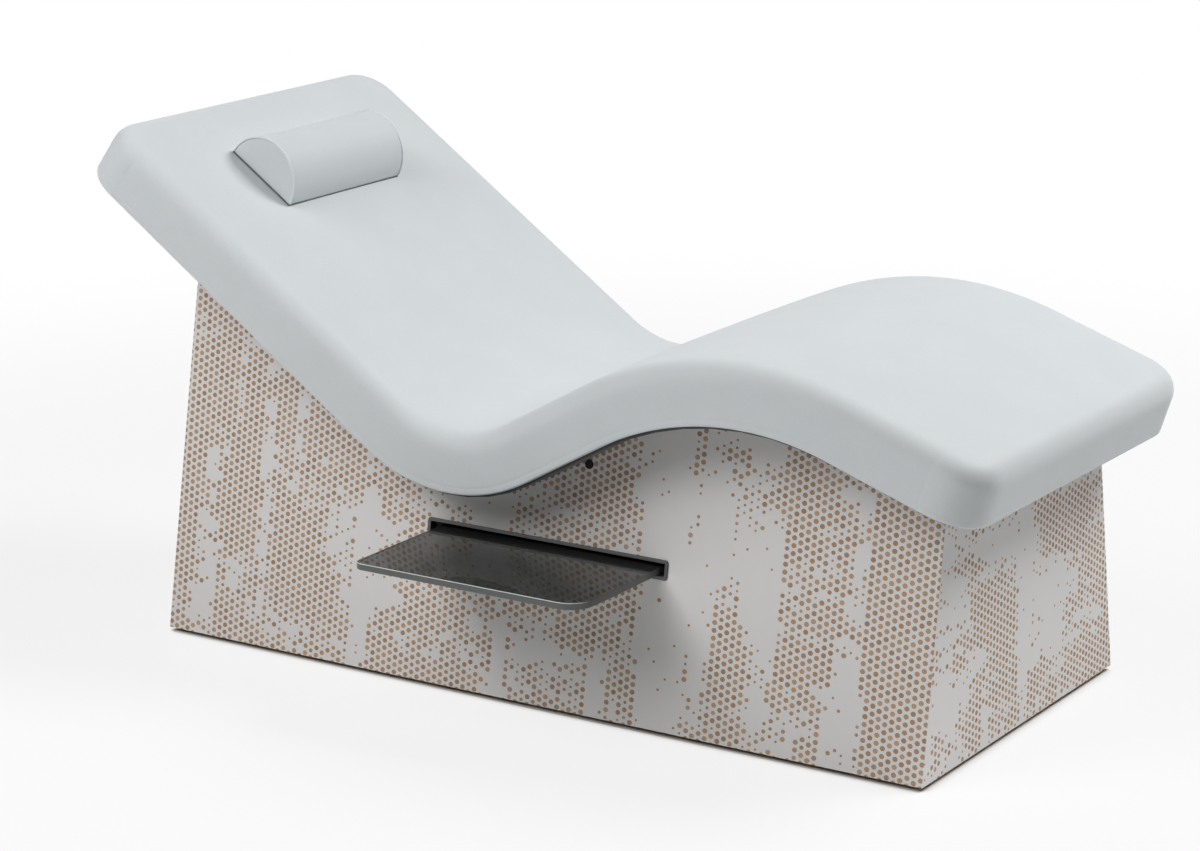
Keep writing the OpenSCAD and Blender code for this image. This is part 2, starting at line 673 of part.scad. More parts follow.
// Half-round form with softened ends, drawn in by inset and down by drop below its base
function end_ease(t) = 1 - sqrt(1 - (1 - min(1, t)) ^ 2);
function half_round_ring(r, y, drop) = let(a0 = asin(pillow_sink / r), step = (180 - 2 * a0) / pillow_steps)
    concat(
        drop > 0 ? [[r * cos(a0), y, -drop]] : [],
        [for (i = [0:pillow_steps]) [r * cos(a0 + i * step), y, r * sin(a0 + i * step) - pillow_sink]],
        drop > 0 ? [[-r * cos(a0), y, -drop]] : []);
module half_round(inset, drop = 0) {
    length = pillow_len - 2 * inset;
    eased = [for (i = [0:1]) pillow_edge_r * (1 - cos(90 * i / 2))];
    body = [for (i = [0:pillow_rings])
        pillow_edge_r + (length - 2 * pillow_edge_r) * i / pillow_rings];
    places = concat(eased, body, [length - eased[1], length - eased[0]]);
    rings = [for (y = places) let(
            swell = pillow_swell * (1 - (2 * y / length - 1) ^ 2),
            edge = pillow_edge_r * end_ease(min(y, length - y) / pillow_edge_r))
        half_round_ring(pillow_r - inset + swell - edge, y - length / 2, drop)];
    count = len(rings[0]);
    final = (len(places) - 1) * count;
    total = final + count;
    tip = length / 2 + pillow_dome;
    polyhedron(
        points = concat([for (ring = rings) each ring], [[0, -tip, pillow_h / 3], [0, tip, pillow_h / 3]]),
        faces = concat(
            [for (k = [0:count:final - count]) for (i = [0:count - 1]) let(j = (i + 1) % count)
                each [[k + i, k + j, k + count + j], [k + i, k + count + j, k + count + i]]],
            [for (i = [0:count - 1]) [total, (i + 1) % count, i]],
            [for (i = [0:count - 1]) [total + 1, final + i, final + (i + 1) % count]]));
}
module pillow_cover() color([0.84, 0.86, 0.87])
    on_back() translate([0, 0, pillow_base_t]) difference() {
        half_round(0);
        half_round(pillow_skin, over);
    }
module pillow_foam() color([0.95, 0.93, 0.86])
    on_back() translate([0, 0, pillow_base_t + rest_gap]) half_round(pillow_skin + 2 * rest_gap);
module pillow_base() color([0.20, 0.21, 0.22])
    on_back() translate([-pillow_w / 2 + pillow_base_in, -pillow_len / 2 + pillow_base_in, 0])
        cube([pillow_w - 2 * pillow_base_in, pillow_len - 2 * pillow_base_in, pillow_base_t]);
piping_r = 1.8;
module pillow_piping() let(r = pillow_r - piping_r, a0 = asin((pillow_sink + piping_r) / r))
    color([0.80, 0.82, 0.83])
    on_back() for (y_sign = [-1, 1])
        translate([0, y_sign * (pillow_len / 2 - piping_r), pillow_base_t - pillow_sink])
            rotate([90, 0, 0]) rotate_extrude(angle = 180 - 2 * a0, start = a0, $fn = 64)
                translate([r, 0]) circle(piping_r, $fn = 24);

plinth_board();
floor_board();
shelf_side_panel();
plain_side_panel();
head_panel();
foot_panel();
head_bulkhead();
shelf_bulkhead_head();
shelf_bulkhead_foot();
foot_bulkhead();
corner_battens();
deck_cleats();
deck_board();
dust_cover();
firm_foam();
soft_foam();
cushion_cover();
slot_trim();
cable_grommet();
shelf_tray();
tray_lid();
head_side_rail();
foot_side_rail();
front_glide();
front_stops();
rear_stops();
plinth_screws();
panel_screws();
deck_screws();
rail_screws();
lid_screws();
glass_shelf();
shelf_clamp_bar();
clamp_gasket();
head_side_shoe();
foot_side_shoe();
shoe_screws();
pillow_cover();
pillow_foam();
pillow_base();
pillow_piping();
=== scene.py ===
"""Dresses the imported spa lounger: cushion, pillow, dotted panels, glass shelf and the inside
of the base. Everything is in metres in one frame: X runs from the head end to the foot end,
Y across, Z up from the floor."""

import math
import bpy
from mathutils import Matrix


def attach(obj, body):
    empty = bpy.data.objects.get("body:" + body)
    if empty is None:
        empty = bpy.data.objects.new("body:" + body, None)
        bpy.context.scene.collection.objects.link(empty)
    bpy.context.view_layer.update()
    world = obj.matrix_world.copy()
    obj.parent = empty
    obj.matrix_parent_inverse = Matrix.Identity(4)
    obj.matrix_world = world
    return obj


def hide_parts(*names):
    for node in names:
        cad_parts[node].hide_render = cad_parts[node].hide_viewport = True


bl_info = {
    "name": "Spa Lounger Dressing",
    "version": (1, 0, 0),
    "blender": (4, 5, 0),
    "location": "View3D > Sidebar > Lounger",
    "description": "Makes the cushion, pillow, panels, shelf and stage of a spa lounger",
    "category": "Object",
}

import bpy
import numpy as np
from mathutils import Vector

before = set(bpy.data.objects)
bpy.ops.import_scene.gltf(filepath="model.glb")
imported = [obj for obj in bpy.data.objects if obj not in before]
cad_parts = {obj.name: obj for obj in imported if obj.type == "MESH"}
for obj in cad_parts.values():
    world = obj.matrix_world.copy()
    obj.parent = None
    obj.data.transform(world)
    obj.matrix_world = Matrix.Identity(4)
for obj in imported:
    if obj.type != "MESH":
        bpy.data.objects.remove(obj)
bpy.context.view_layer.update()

# The axes, by their number
X, Y, Z = range(3)


# Settings

def setting(kind, **fixed):
    """Gives a function that makes settings of one kind."""
    def make(name, description, default):
        return kind(name=name, description=description, default=default, **fixed)
    return make


length = setting(bpy.props.FloatProperty, unit="LENGTH", precision=4)
angle = setting(bpy.props.FloatProperty, subtype="ANGLE")
share = setting(bpy.props.FloatProperty, min=0.0, max=1.0, subtype="FACTOR")
amount = setting(bpy.props.FloatProperty, min=0.0)
colour = setting(bpy.props.FloatVectorProperty, size=3, min=0.0, max=1.0, subtype="COLOR")
place = setting(bpy.props.FloatVectorProperty, size=3, unit="LENGTH", subtype="TRANSLATION")


def slope(name, description, degrees):
    return angle(name, description, math.radians(degrees))


class CushionSettings(bpy.types.PropertyGroup):
    width: length("Width", "Width of the cushion across the lounger", 0.8)
    thickness: length("Thickness", "Top face to the lower edge", 0.106)
    back: length("Back", "Head end to the seat's bend line", 0.881)
    thigh: length("Thighs", "Between the two bend lines", 0.579)
    calf: length("Calves", "The knee's bend line to the foot end", 0.547)
    back_slope: slope("Back slope", "Slope of the back section", 34.8)
    thigh_slope: slope("Thigh slope", "Slope of the thigh section", 29.5)
    calf_slope: slope("Calf slope", "Slope of the calf section", 18.8)
    seat_radius: length("Seat radius", "Radius of the seat's bend at the top face", 0.2)
    knee_radius: length("Knee radius", "Radius of the knee's bend at the top face", 0.622)
    seat_back: length("Seat back", "Seat's bend line from the middle, towards the head", 0.13)
    seat_height: length("Seat height", "Height of the seat's bend line", 0.44)
    corner: length("Corner radius", "Radius of the corners in plan", 0.078)
    roll: length("Edge roll", "Radius of the rolled top edge", 0.038)
    hem: length("Hem radius", "Radius of the lower edge", 0.0035)
    hem_height: length("Hem height", "Height of the hem's seam above the underside", 0.0125)
    deck_in: length("Deck set-back", "Set-back of the deck's edge", 0.0137)
    deck_top: length("Deck top", "Depth of the deck's top face under the top", 0.0942)
    crown: length("Crown", "Rise of the top face at mid width", 0.003)
    shrink: length("Start size", "How much smaller the form is before it swells", 0.0008)
    swell: length("Swell", "The most that the filling pushes the cover out", 0.002)
    pressure: amount("Pressure", "Pressure of the filling while the cover settles", 4.0)
    seam_head: length("Head seam", "Upright seam's distance from the head end", 0.089)
    seam_foot: length("Foot seam", "Upright seam's distance from the foot end", 0.096)
    seam_depth: length("Seam depth", "Depth of the seams", 0.0007)
    pitch: length("Mesh pitch", "Spacing of the mesh before subdivision", 0.014)
    grain: length("Grain", "Size of the cover's pebbled grain", 0.0013)
    cover: colour("Cover", "Colour of the upholstery", (0.68, 0.716, 0.729))


class PillowSettings(bpy.types.PropertyGroup):
    long: length("Length", "Length across the lounger", 0.336)
    deep: length("Depth", "Depth down the slope", 0.154)
    high: length("Height", "Height of the half-round over its base", 0.0752)
    down: length("Down the back", "Head end to the pillow's upper edge", 0.139)
    shift: length("Shift", "Shift from the centre line, towards the shelf's side", 0.02)
    base: length("Base", "Thickness of the rubber base", 0.0025)
    lift: length("Base joint", "Height of the dark joint between the base and the cover", 0.0008)
    gap: length("Gap", "Air under the base, over the cushion's crown", 0.0003)
    edge: length("Edge radius", "Rounding between the end faces and the body", 0.004)
    dome: length("Dome", "How far the end faces stand out", 0.0012)
    swell: length("Swell", "The most that the filling pushes the cover out", 0.002)
    pressure: amount("Pressure", "Pressure of the filling while the cover settles", 4.0)
    piping: length("Piping radius", "Radius of the piping", 0.0021)
    welt: length("Welt", "How far the piping stands proud of the cover", 0.0018)
    cover: colour("Cover", "Colour of the pillow's cover", (0.655, 0.692, 0.707))
    grain: length("Grain", "Size of the cover's pebbled grain", 0.0012)
    rubber: colour("Base rubber", "Colour of the rubber base", (0.15, 0.156, 0.16))


class PanelSettings(bpy.types.PropertyGroup):
    side_lean: slope("Side lean", "Inward lean of the long sides", 9.2)
    end_lean: slope("End lean", "Inward lean of the ends", 0.65)
    column: length("Column pitch", "Distance between the columns of dots", 0.0122)
    row: length("Row pitch", "Distance between the dots of one column", 0.0131)
    dot_wide: length("Dot half width", "Half width of a full dot", 0.0051)
    dot_high: length("Dot half height", "Half height of a full dot", 0.0046)
    dot_depth: length("Dot depth", "Depth of a dot's recess", 0.0006)
    laminate: colour("Laminate", "Colour of the panels' face", (0.785, 0.775, 0.765))
    dot_dark: colour("Darker dots", "Colour of the darkest dots", (0.38, 0.242, 0.148))
    dot_light: colour("Lighter dots", "Colour of the lightest dots", (0.585, 0.40, 0.262))
    # The dot rim's pale colour is a painted highlight round each dot's recess
    rim: colour("Dot rim", "Colour of the narrow rim round a dot's recess", (0.92, 0.85, 0.80))
    core: colour("Core", "Colour of the board under the laminate", (0.42, 0.30, 0.19))
    backing: colour("Backing", "Colour of the panels' inner faces", (0.60, 0.59, 0.56))
    plinth: colour("Plinth", "Colour of the plinth", (0.012, 0.012, 0.014))


class ShelfSettings(bpy.types.PropertyGroup):
    glass: colour("Glass", "Tint of the smoked glass", (0.14, 0.149, 0.144))
    edge: colour("Glass edge", "Colour of the glass's ground edges", (0.105, 0.115, 0.11))
    # The arris colour is a painted highlight, a bright line on the glass's front edge
    arris: colour("Glass arris", "Colour of the bright line on the front edge", (0.72, 0.75, 0.74))
    trim: colour("Trim", "Colour of the frame round the slot", (0.085, 0.085, 0.088))
    rubber: colour("Rubber", "Colour of the rubber parts", (0.012, 0.012, 0.012))
    tray: colour("Tray", "Colour of the tray behind the slot", (0.012, 0.012, 0.014))
    nylon: colour("Nylon", "Colour of the sliding parts", (0.74, 0.74, 0.71))
    aluminium: colour("Aluminium", "Colour of the rails and the clamp bar", (0.72, 0.73, 0.75))
    zinc: colour("Zinc", "Colour of the screws", (0.58, 0.59, 0.61))


class InsideSettings(bpy.types.PropertyGroup):
    birch: colour("Plywood", "Colour of the plywood's faces", (0.60, 0.43, 0.26))
    glue: colour("Ply edge", "Colour of the darker plies", (0.30, 0.17, 0.085))
    pine: colour("Softwood", "Colour of the battens and cleats", (0.66, 0.46, 0.25))
    stain: colour("Deck edge", "Colour of the paint on the deck's edges", (0.035, 0.036, 0.038))
    cloth: colour("Dust cloth", "Colour of the cloth under the cushion", (0.10, 0.10, 0.103))
    foam: colour("Foam", "Colour of the foams", (0.78, 0.70, 0.50))


class StageSettings(bpy.types.PropertyGroup):
    floor_colour: colour("Floor", "Colour of the floor", (0.9, 0.9, 0.9))
    back_power: amount("Back light", "Power of the high light behind the foot end, in watts", 264.0)
    head_power: amount("Head light", "Power of the light before the head end, in watts", 52.0)
    front_power: amount("Front light", "Power of the light before the shelf, in watts", 74.0)
    top_power: amount("Top light", "Power of the high light before the shelf, in watts", 37.0)
    sky: amount("Sky", "Strength of the even light from all round", 0.01)
    floor_size: length("Floor size", "Distance from the middle to the floor's edge", 40.0)
    glow: share("Floor glow", "How much of the floor's own white shows", 0.79)
    near_fade: length("Fade start", "Distance from the middle at which the floor turns whiter", 1.4)
    far_fade: length("Fade end", "Distance from the middle at which the floor is all white", 3.6)
    gap: length("Gap", "How close over the floor a piece dims the floor's white", 0.04)
    aim: place("Aim", "Where the lamps point", (0.0, 0.0, 0.4))
    stand: place("Camera", "Where the camera stands", (3.14104, -5.04593, 2.00023))
    lens: amount("Lens", "Focal length of the camera, in millimetres", 104.14)
    azimuth: slope("Azimuth", "Camera's turn round the object", 32.465)
    elevation: slope("Elevation", "Camera's height angle", 14.907)


class LoungerSettings(bpy.types.PropertyGroup):
    cushion: bpy.props.PointerProperty(type=CushionSettings)
    pillow: bpy.props.PointerProperty(type=PillowSettings)
    panels: bpy.props.PointerProperty(type=PanelSettings)
    shelf: bpy.props.PointerProperty(type=ShelfSettings)
    inside: bpy.props.PointerProperty(type=InsideSettings)
    stage: bpy.props.PointerProperty(type=StageSettings)


# Shading

def reckons(operation, swapped=False):
    """A method that adds a Math node. Swapped puts the amount itself last."""
    def method(self, *others):
        terms = enumerate((*others, self) if swapped else (self, *others))
        return self.shading.node("ShaderNodeMath", {"operation": operation}, dict(terms))
    return method


class Amount:
    """A number that varies over a surface. Arithmetic on it adds Math nodes."""

    def __init__(self, shading, socket):
        self.shading = shading
        self.socket = socket

    __add__, __radd__ = reckons("ADD"), reckons("ADD", swapped=True)
    __sub__, __rsub__ = reckons("SUBTRACT"), reckons("SUBTRACT", swapped=True)
    __mul__, __rmul__ = reckons("MULTIPLY"), reckons("MULTIPLY", swapped=True)
    __truediv__, __rtruediv__ = reckons("DIVIDE"), reckons("DIVIDE", swapped=True)
    __pow__, __rpow__ = reckons("POWER"), reckons("POWER", swapped=True)
    __lt__, __gt__ = reckons("LESS_THAN"), reckons("GREATER_THAN")
    __abs__, __floor__ = reckons("ABSOLUTE"), reckons("FLOOR")
    least, most, folded = reckons("MINIMUM"), reckons("MAXIMUM"), reckons("PINGPONG")

    def __neg__(self):
        return self * -1.0

    def rise(self, low, high):
        """0 below low, 1 above high, and smooth between them."""
        return self.shading.node(
            "ShaderNodeMapRange", {"interpolation_type": "SMOOTHSTEP"},
            {"Value": self, "From Min": low, "From Max": high, "To Min": 0.0, "To Max": 1.0})


class Shading:
    """A node tree, and the ways in which nodes are added to it."""

    def __init__(self, owner):
        owner.use_nodes = True
        self.tree = owner.node_tree
        self.tree.nodes.clear()

    def node(self, kind, settings=None, sockets=None, out=0):
        """Adds a node: its settings first, then the values or links of its sockets."""
        made = self.tree.nodes.new(kind)
        for name, value in (settings or {}).items():
            setattr(made, name, value)
        for key, value in (sockets or {}).items():
            self.feed(made.inputs[key], value)
        return Amount(self, made.outputs[out]) if made.outputs else made

    def feed(self, socket, value):
        if isinstance(value, Amount):
            self.tree.links.new(value.socket, socket)
        elif socket.type == "RGBA":
            socket.default_value = (*value, 1.0)
        else:
            socket.default_value = value

    def outputs(self, amount, *names):
        """The named outputs of the node that an amount comes from, or all of them."""
        found = amount.socket.node.outputs
        return [Amount(self, found[name]) for name in names or range(len(found))]

    def parts(self, vector):
        return self.outputs(self.node("ShaderNodeSeparateXYZ", None, {0: vector}))

    def blend(self, mask, first, second):
        """Shader first where mask is 0 and second where it is 1."""
        return self.node("ShaderNodeMixShader", None, {0: mask, 1: first, 2: second})


class Finish(Shading):
    """A material: everything that varies goes to its surface through the same few sockets."""

    def __init__(self, name):
        self.material = bpy.data.materials.new(name)
        super().__init__(self.material)
        self.place = self.node("ShaderNodeTexCoord", out="Object")

    def normals(self):
        """How far the surface faces X, Y and Z."""
        return self.parts(self.node("ShaderNodeNewGeometry", out="Normal"))

    def point(self, x, y, z):
        return self.node("ShaderNodeCombineXYZ", None, {0: x, 1: y, 2: z})

    def drawn(self, axis, lengthwise, across):
        """The place times one factor along an axis and another across it."""
        sizes = [lengthwise if number == axis else across for number in range(3)]
        return self.node("ShaderNodeVectorMath", {"operation": "MULTIPLY"},
                         {0: self.place, 1: sizes})

    def mix(self, mask, first, second):
        """Colour first where mask is 0 and second where it is 1."""
        return self.node("ShaderNodeMix", {"data_type": "RGBA"},
                         {0: mask, 6: first, 7: second}, out=2)

    def shades(self, mask, base, low, high):
        """The base colour times low where mask is 0 and times high where it is 1."""
        return self.mix(mask, tint(base, low), tint(base, high))

    def noise(self, scale, detail=2.0, roughness=0.5, vector=None):
        return self.node("ShaderNodeTexNoise", None, {
            "Vector": vector or self.place, "Scale": scale, "Detail": detail,
            "Roughness": roughness})

    def cells(self, scale, feature="F1", **sockets):
        return self.node("ShaderNodeTexVoronoi", {"feature": feature},
                         {"Vector": self.place, "Scale": scale, **sockets})

    def bump(self, height, distance, strength, **sockets):
        return self.node("ShaderNodeBump", None, {
            "Height": height, "Distance": distance, "Strength": strength, **sockets})

    def principled(self, **sockets):
        named = {name.replace("_", " ").title().replace("Ior", "IOR"): value
                 for name, value in sockets.items()}
        return self.node("ShaderNodeBsdfPrincipled", None, named)

    def finished(self, shader):
        self.node("ShaderNodeOutputMaterial", None, {"Surface": shader})
        return self.material

    def surface(self, **sockets):
        """Ends the material in one surface shader."""
        return self.finished(self.principled(**sockets))


def tint(base, factor):
    return tuple(min(1.0, part * factor) for part in base)


def upholstery(name, cover, grain):
    """Smooth artificial leather: fine pebbled grain, a little unevenness, a soft sheen."""
    f = Finish(name)
    pebble = f.cells(1 / grain, "SMOOTH_F1", Smoothness=0.35)
    pore = f.noise(0.9 / grain, 2.0, 0.6)
    handle = f.noise(9.0, 3.0)
    soft = f.noise(34.0)
    valley = pebble.rise(0.35, 0.75)
    tone = f.shades(handle.rise(0.3, 0.7), cover, 0.985, 1.012)
    # Painted shade: the grooves between the pebbles are made a little darker
    tone = f.mix(valley * 0.5, tone, tint(cover, 0.93))
    normal = f.bump(soft, 0.0002, 0.3)
    normal = f.bump(pore * 0.4 - valley, 0.0001, 0.4, Normal=normal)
    return f.surface(
        base_color=tone, roughness=0.50 + soft * 0.08 + valley * 0.05, normal=normal,
        specular_ior_level=0.42, sheen_weight=0.06, sheen_roughness=0.5)


# A panel's dots grow in steps: each pair is how full the pattern must be, and the part of a
# full dot that is then added. A stray dot stands alone, by chance.
DOT_STEPS = ((0.885, 0.54), (0.92, 0.16), (0.955, 0.16), (0.99, 0.14))
STRAY_CHANCE, STRAY_SIZE = 0.955, 0.54


def dotted_panel(name, look, along, lean, outward, seed, fuller):
    """Laminated board with recessed dots on its outer face, laid out in patches. The dots are
    denser by fuller, and more so towards the ends of a long side."""
    f = Finish(name)
    x, y, z = f.parts(f.place)
    u = x if along == X else y
    v = z / math.cos(lean)
    facing = f.normals()[Y if along == X else X] * outward

    def nearest(value, step, shift):
        return math.floor((value - shift) / step + 0.5) * step + shift

    def reach(centre_u, centre_v):
        across = (u - centre_u) / look.dot_wide
        up = (v - centre_v) / look.dot_high
        return (across * across + up * up) ** 0.5

    even_u, even_v = nearest(u, 2 * look.column, 0.0), nearest(v, look.row, 0.0)
    odd_u, odd_v = nearest(u, 2 * look.column, look.column), nearest(v, look.row, look.row / 2)
    even, odd = reach(even_u, even_v), reach(odd_u, odd_v)
    pick = odd < even
    dot_u = even_u + pick * (odd_u - even_u)
    dot_v = even_v + pick * (odd_v - even_v)
    near = even.least(odd)

    def spread(scale_u, scale_v, shift=0.0):
        """The dot's own place, which is the same all over one dot."""
        return f.point(dot_u * scale_u, dot_v * scale_v, seed + shift)

    def luck(dot_place):
        return f.node("ShaderNodeTexWhiteNoise", {"noise_dimensions": "3D"},
                      {"Vector": dot_place}, out="Value")

    # How full each dot is, from patches, level streaks, upright gaps and chance
    patches = f.noise(1.0, 2.0, 0.55, spread(4.6, 5.2))
    streaks = f.noise(1.0, 2.0, 0.6, spread(11.0, 42.0, 7.3))
    gaps = f.noise(1.0, 1.0, 0.5, spread(9.0, 0.9, 3.1))
    chance, shade = luck(spread(91.0, 83.0)), luck(spread(37.0, 59.0, 2.0))
    full = patches * 1.25 + streaks * 0.62 + chance * 0.2 - gaps.rise(0.54, 0.60) * 0.26
    if along == X:
        full = full + (dot_u * dot_u * 0.42).least(0.15) - 0.055
    full = full + fuller
    grown = [(full > level) * part for level, part in DOT_STEPS]
    size = sum(grown[1:], grown[0]).most((chance > STRAY_CHANCE) * STRAY_SIZE)
    # 1 inside a dot, falling to 0 over a narrow rim, and a pale ring round it, which is a painted
    # highlight on the recess's edge
    dotted = (size > 0.1) * (facing > 0.9)
    inside = (size - near).rise(-0.02, 0.16) * dotted
    ring = (size - near).rise(-0.24, -0.04) * dotted * (1 - inside)

    speck = f.noise(1500.0, 2.0, 0.6)
    face = f.shades(f.noise(6.0), look.laminate, 0.985, 1.015)
    face = f.mix(speck.rise(0.35, 0.8) * 0.25, face, tint(look.laminate, 0.93))
    dots = f.mix(shade, look.dot_dark, look.dot_light)
    dots = f.mix(speck * 0.35, dots, tint(look.dot_dark, 0.9))
    # Painted highlight: the pale rim colour on a ring round each dot's recess
    face = f.mix(ring * 0.6, face, look.rim)
    face = f.mix(inside, face, dots)
    core = f.shades(f.noise(420.0, 3.0, 0.7), look.core, 0.75, 1.15)
    core = f.mix(facing < -0.5, core, look.backing)
    normal = f.bump(-inside, look.dot_depth, 0.9)
    normal = f.bump(speck, 0.00005, 0.4, Normal=normal)
    return f.surface(base_color=f.mix(facing > 0.35, core, face), normal=normal,
                     roughness=0.42 + inside * 0.22 + speck * 0.08, specular_ior_level=0.38)


def painted_board(name, paint):
    """Painted board with a fine grain and a few scuffs."""
    f = Finish(name)
    grain = f.noise(260.0, 4.0, 0.7)
    scuff = f.noise(22.0, 5.0, 0.65).rise(0.56, 0.72)
    tone = f.mix(scuff * 0.5 + grain * 0.2, paint, tint(paint, 3.2))
    return f.surface(base_color=tone, roughness=0.55 + grain * 0.2,
                     normal=f.bump(grain, 0.0002, 0.5))


def plywood(name, look, thick_axis, long_axis, edge_paint=None):
    """Plywood: figured grain on the faces, stacked plies on the edges or paint over them."""
    f = Finish(name)
    ply = 0.0014
    figure = f.noise(1.0, 5.0, 0.62, f.drawn(long_axis, 2.4, 60.0))
    fibre = f.noise(1.0, 2.0, 0.6, f.drawn(long_axis, 21.6, 540.0))
    face = f.shades(figure.rise(0.3, 0.72), look.birch, 1.08, 0.72)
    face = f.mix(fibre.rise(0.45, 0.8) * 0.4, face, tint(look.glue, 1.5))
    face = f.mix(1 - f.cells(5.0).rise(0.02, 0.05), face, tint(look.glue, 0.9))
    plies = f.parts(f.place)[thick_axis].folded(ply)
    edge = f.mix((plies / ply).rise(0.4, 0.6), look.glue, look.birch)
    edge = f.mix(fibre * 0.5, edge, tint(look.birch, 0.6))
    if edge_paint:
        edge = f.mix(fibre * 0.4, edge_paint, tint(edge_paint, 1.8))
    on_face = abs(f.normals()[thick_axis]) > 0.7
    return f.surface(base_color=f.mix(on_face, edge, face), roughness=0.56 + figure * 0.2,
                     normal=f.bump(fibre + figure, 0.00025, 0.5))


def softwood(name, look, long_axis):
    """Planed pine: growth rings run along the piece, with a few darker streaks."""
    f = Finish(name)
    along = f.drawn(long_axis, 0.06, 1.0)
    drift = f.noise(14.0, 3.0, 0.6, along)
    rings = f.node("ShaderNodeTexWave", {"wave_type": "RINGS", "rings_direction": "SPHERICAL"}, {
        "Vector": along, "Scale": 48.0, "Distortion": 5.0, "Detail": 2.0, "Detail Scale": 1.4})
    fibre = f.noise(1.0, 2.0, 0.6, f.drawn(long_axis, 42.0, 700.0))
    late = rings.rise(0.45, 0.9)
    tone = f.shades(drift.rise(0.3, 0.7), look.pine, 1.0, 0.85)
    tone = f.mix(late * 0.55, tone, tint(look.pine, 0.55))
    tone = f.mix(fibre.rise(0.5, 0.85) * 0.3, tone, tint(look.pine, 0.5))
    return f.surface(base_color=tone, roughness=0.58 + fibre * 0.16,
                     normal=f.bump(fibre - late * 0.6, 0.0002, 0.5))


def felt(name, look):
    """Grey non-woven cloth with tangled fibres."""
    f = Finish(name)
    lay = f.noise(1.0, 3.0, 0.7, f.drawn(X, 900.0, 2600.0))
    cross = f.noise(1.0, 3.0, 0.7, f.drawn(Y, 800.0, 2600.0))
    tone = f.shades(lay.most(cross).rise(0.5, 0.8), look.cloth, 1.0, 1.7)
    return f.surface(base_color=tone, roughness=0.86, sheen_weight=0.15,
                     normal=f.bump(lay + cross - f.cells(420.0) * 0.4, 0.0003, 0.6))


def open_foam(name, look):
    """Open-celled foam."""
    f = Finish(name)
    bubbles = f.cells(650.0)
    # Painted shade: the hollows of the foam's cells are made darker
    tone = f.shades(bubbles.rise(0.2, 0.6), look.foam, 0.72, 1.0)
    tone = f.mix(f.noise(30.0, 3.0, 0.6) * 0.3, tone, tint(look.foam, 0.88))
    return f.surface(base_color=tone, roughness=0.9, normal=f.bump(bubbles, 0.0006, 0.7))


def rubber(name, base, shine=0.62):
    """Moulded rubber with a little dust on it."""
    f = Finish(name)
    mould = f.noise(900.0, 3.0, 0.6)
    dust = f.noise(45.0, 5.0, 0.7).rise(0.55, 0.8)
    return f.surface(base_color=f.shades(dust * 0.35, base, 1.0, 3.0), specular_ior_level=0.35,
                     roughness=shine + mould * 0.15, normal=f.bump(mould, 0.00012, 0.5))


def moulded(name, base, shine):
    """Moulded plastic with a light spark-eroded texture and faint rubbing marks."""
    f = Finish(name)
    spark = f.noise(1600.0, 2.0, 0.6)
    rub = f.noise(1.0, 4.0, 0.7, f.drawn(X, 8.0, 240.0)).rise(0.58, 0.7)
    tone = f.shades(rub * 0.25 + spark * 0.1, base, 1.0, 1.5)
    return f.surface(base_color=tone, roughness=shine + spark * 0.14 + rub * 0.08,
                     normal=f.bump(spark, 0.00008, 0.6))


def drawn_aluminium(name, base, long_axis):
    """Anodised aluminium with fine lines along the draw."""
    f = Finish(name)
    lines = f.noise(1.0, 2.0, 0.6, f.drawn(long_axis, 14.0, 2600.0))
    wear = f.noise(60.0, 4.0, 0.65).rise(0.6, 0.75)
    tone = f.shades(lines * 0.4 + wear * 0.2, base, 1.0, 0.82)
    return f.surface(base_color=tone, metallic=1.0, roughness=0.30 + lines * 0.12 + wear * 0.1,
                     normal=f.bump(lines, 0.00004, 0.5))


def zinc_plate(name, base):
    """Zinc plating with a fine spangle."""
    f = Finish(name)
    cloud = f.noise(300.0, 3.0, 0.6)
    return f.surface(base_color=f.shades(cloud, base, 0.85, 1.1), metallic=1.0,
                     roughness=0.28 + cloud * 0.2,
                     normal=f.bump(f.cells(700.0) + cloud, 0.00005, 0.5))


def powder_coat(name, paint):
    """Dark satin powder coat: fine orange peel, edges rubbed a little brighter, and painted shade
    on the faces that look straight out along -Y.
    """
    f = Finish(name)
    peel = f.noise(1100.0, 2.0, 0.55)
    rub = f.noise(70.0, 4.0, 0.7).rise(0.55, 0.75)
    tone = f.shades(rub * 0.3 + peel * 0.15, paint, 1.0, 1.6)
    # Painted shade: faces that look straight out along -Y are made far darker than the rest of the
    # coat
    tone = f.mix(f.normals()[Y] < -0.85, tint(paint, 0.4), tone)
    return f.surface(base_color=tone, metallic=0.25, roughness=0.30 + peel * 0.1 + rub * 0.08,
                     specular_ior_level=0.55, normal=f.bump(peel, 0.00006, 0.5))


def smoked_glass(name, look):
    """Smoked glass: slightly uneven polish, finely ground edges and a painted highlight, a bright
    line on the front arris.
    """
    f = Finish(name)
    film = f.noise(1.0, 4.0, 0.6, f.drawn(Y, 14.0, 5.0)).rise(0.5, 0.75)
    tone = f.shades(film * 0.5, look.glass, 1.0, 0.94)
    body = f.principled(base_color=tone, roughness=0.006 + film * 0.012, ior=1.3,
                        transmission_weight=0.82, specular_ior_level=0.5)
    endways, sideways, upward = f.normals()
    grind = f.noise(1.0, 3.0, 0.6, f.drawn(Z, 1400.0, 60.0))
    # Painted highlight: a bright line on the arris of the edges that face the front
    arris = (upward > 0.3) * (upward < 0.95) * (-sideways).rise(0.1, 0.6)
    ground = f.mix(arris, f.shades(grind, look.edge, 0.9, 1.12), look.arris)
    edge = f.principled(base_color=ground, roughness=0.24 + grind * 0.1,
                        normal=f.bump(grind, 0.00004, 0.4))
    # The faces and the end towards the head are polished, the other edges are ground
    polished = abs(upward).rise(0.96, 0.985).most((-endways).rise(0.6, 0.8))
    return f.finished(f.blend(polished, edge, body))


# Forms

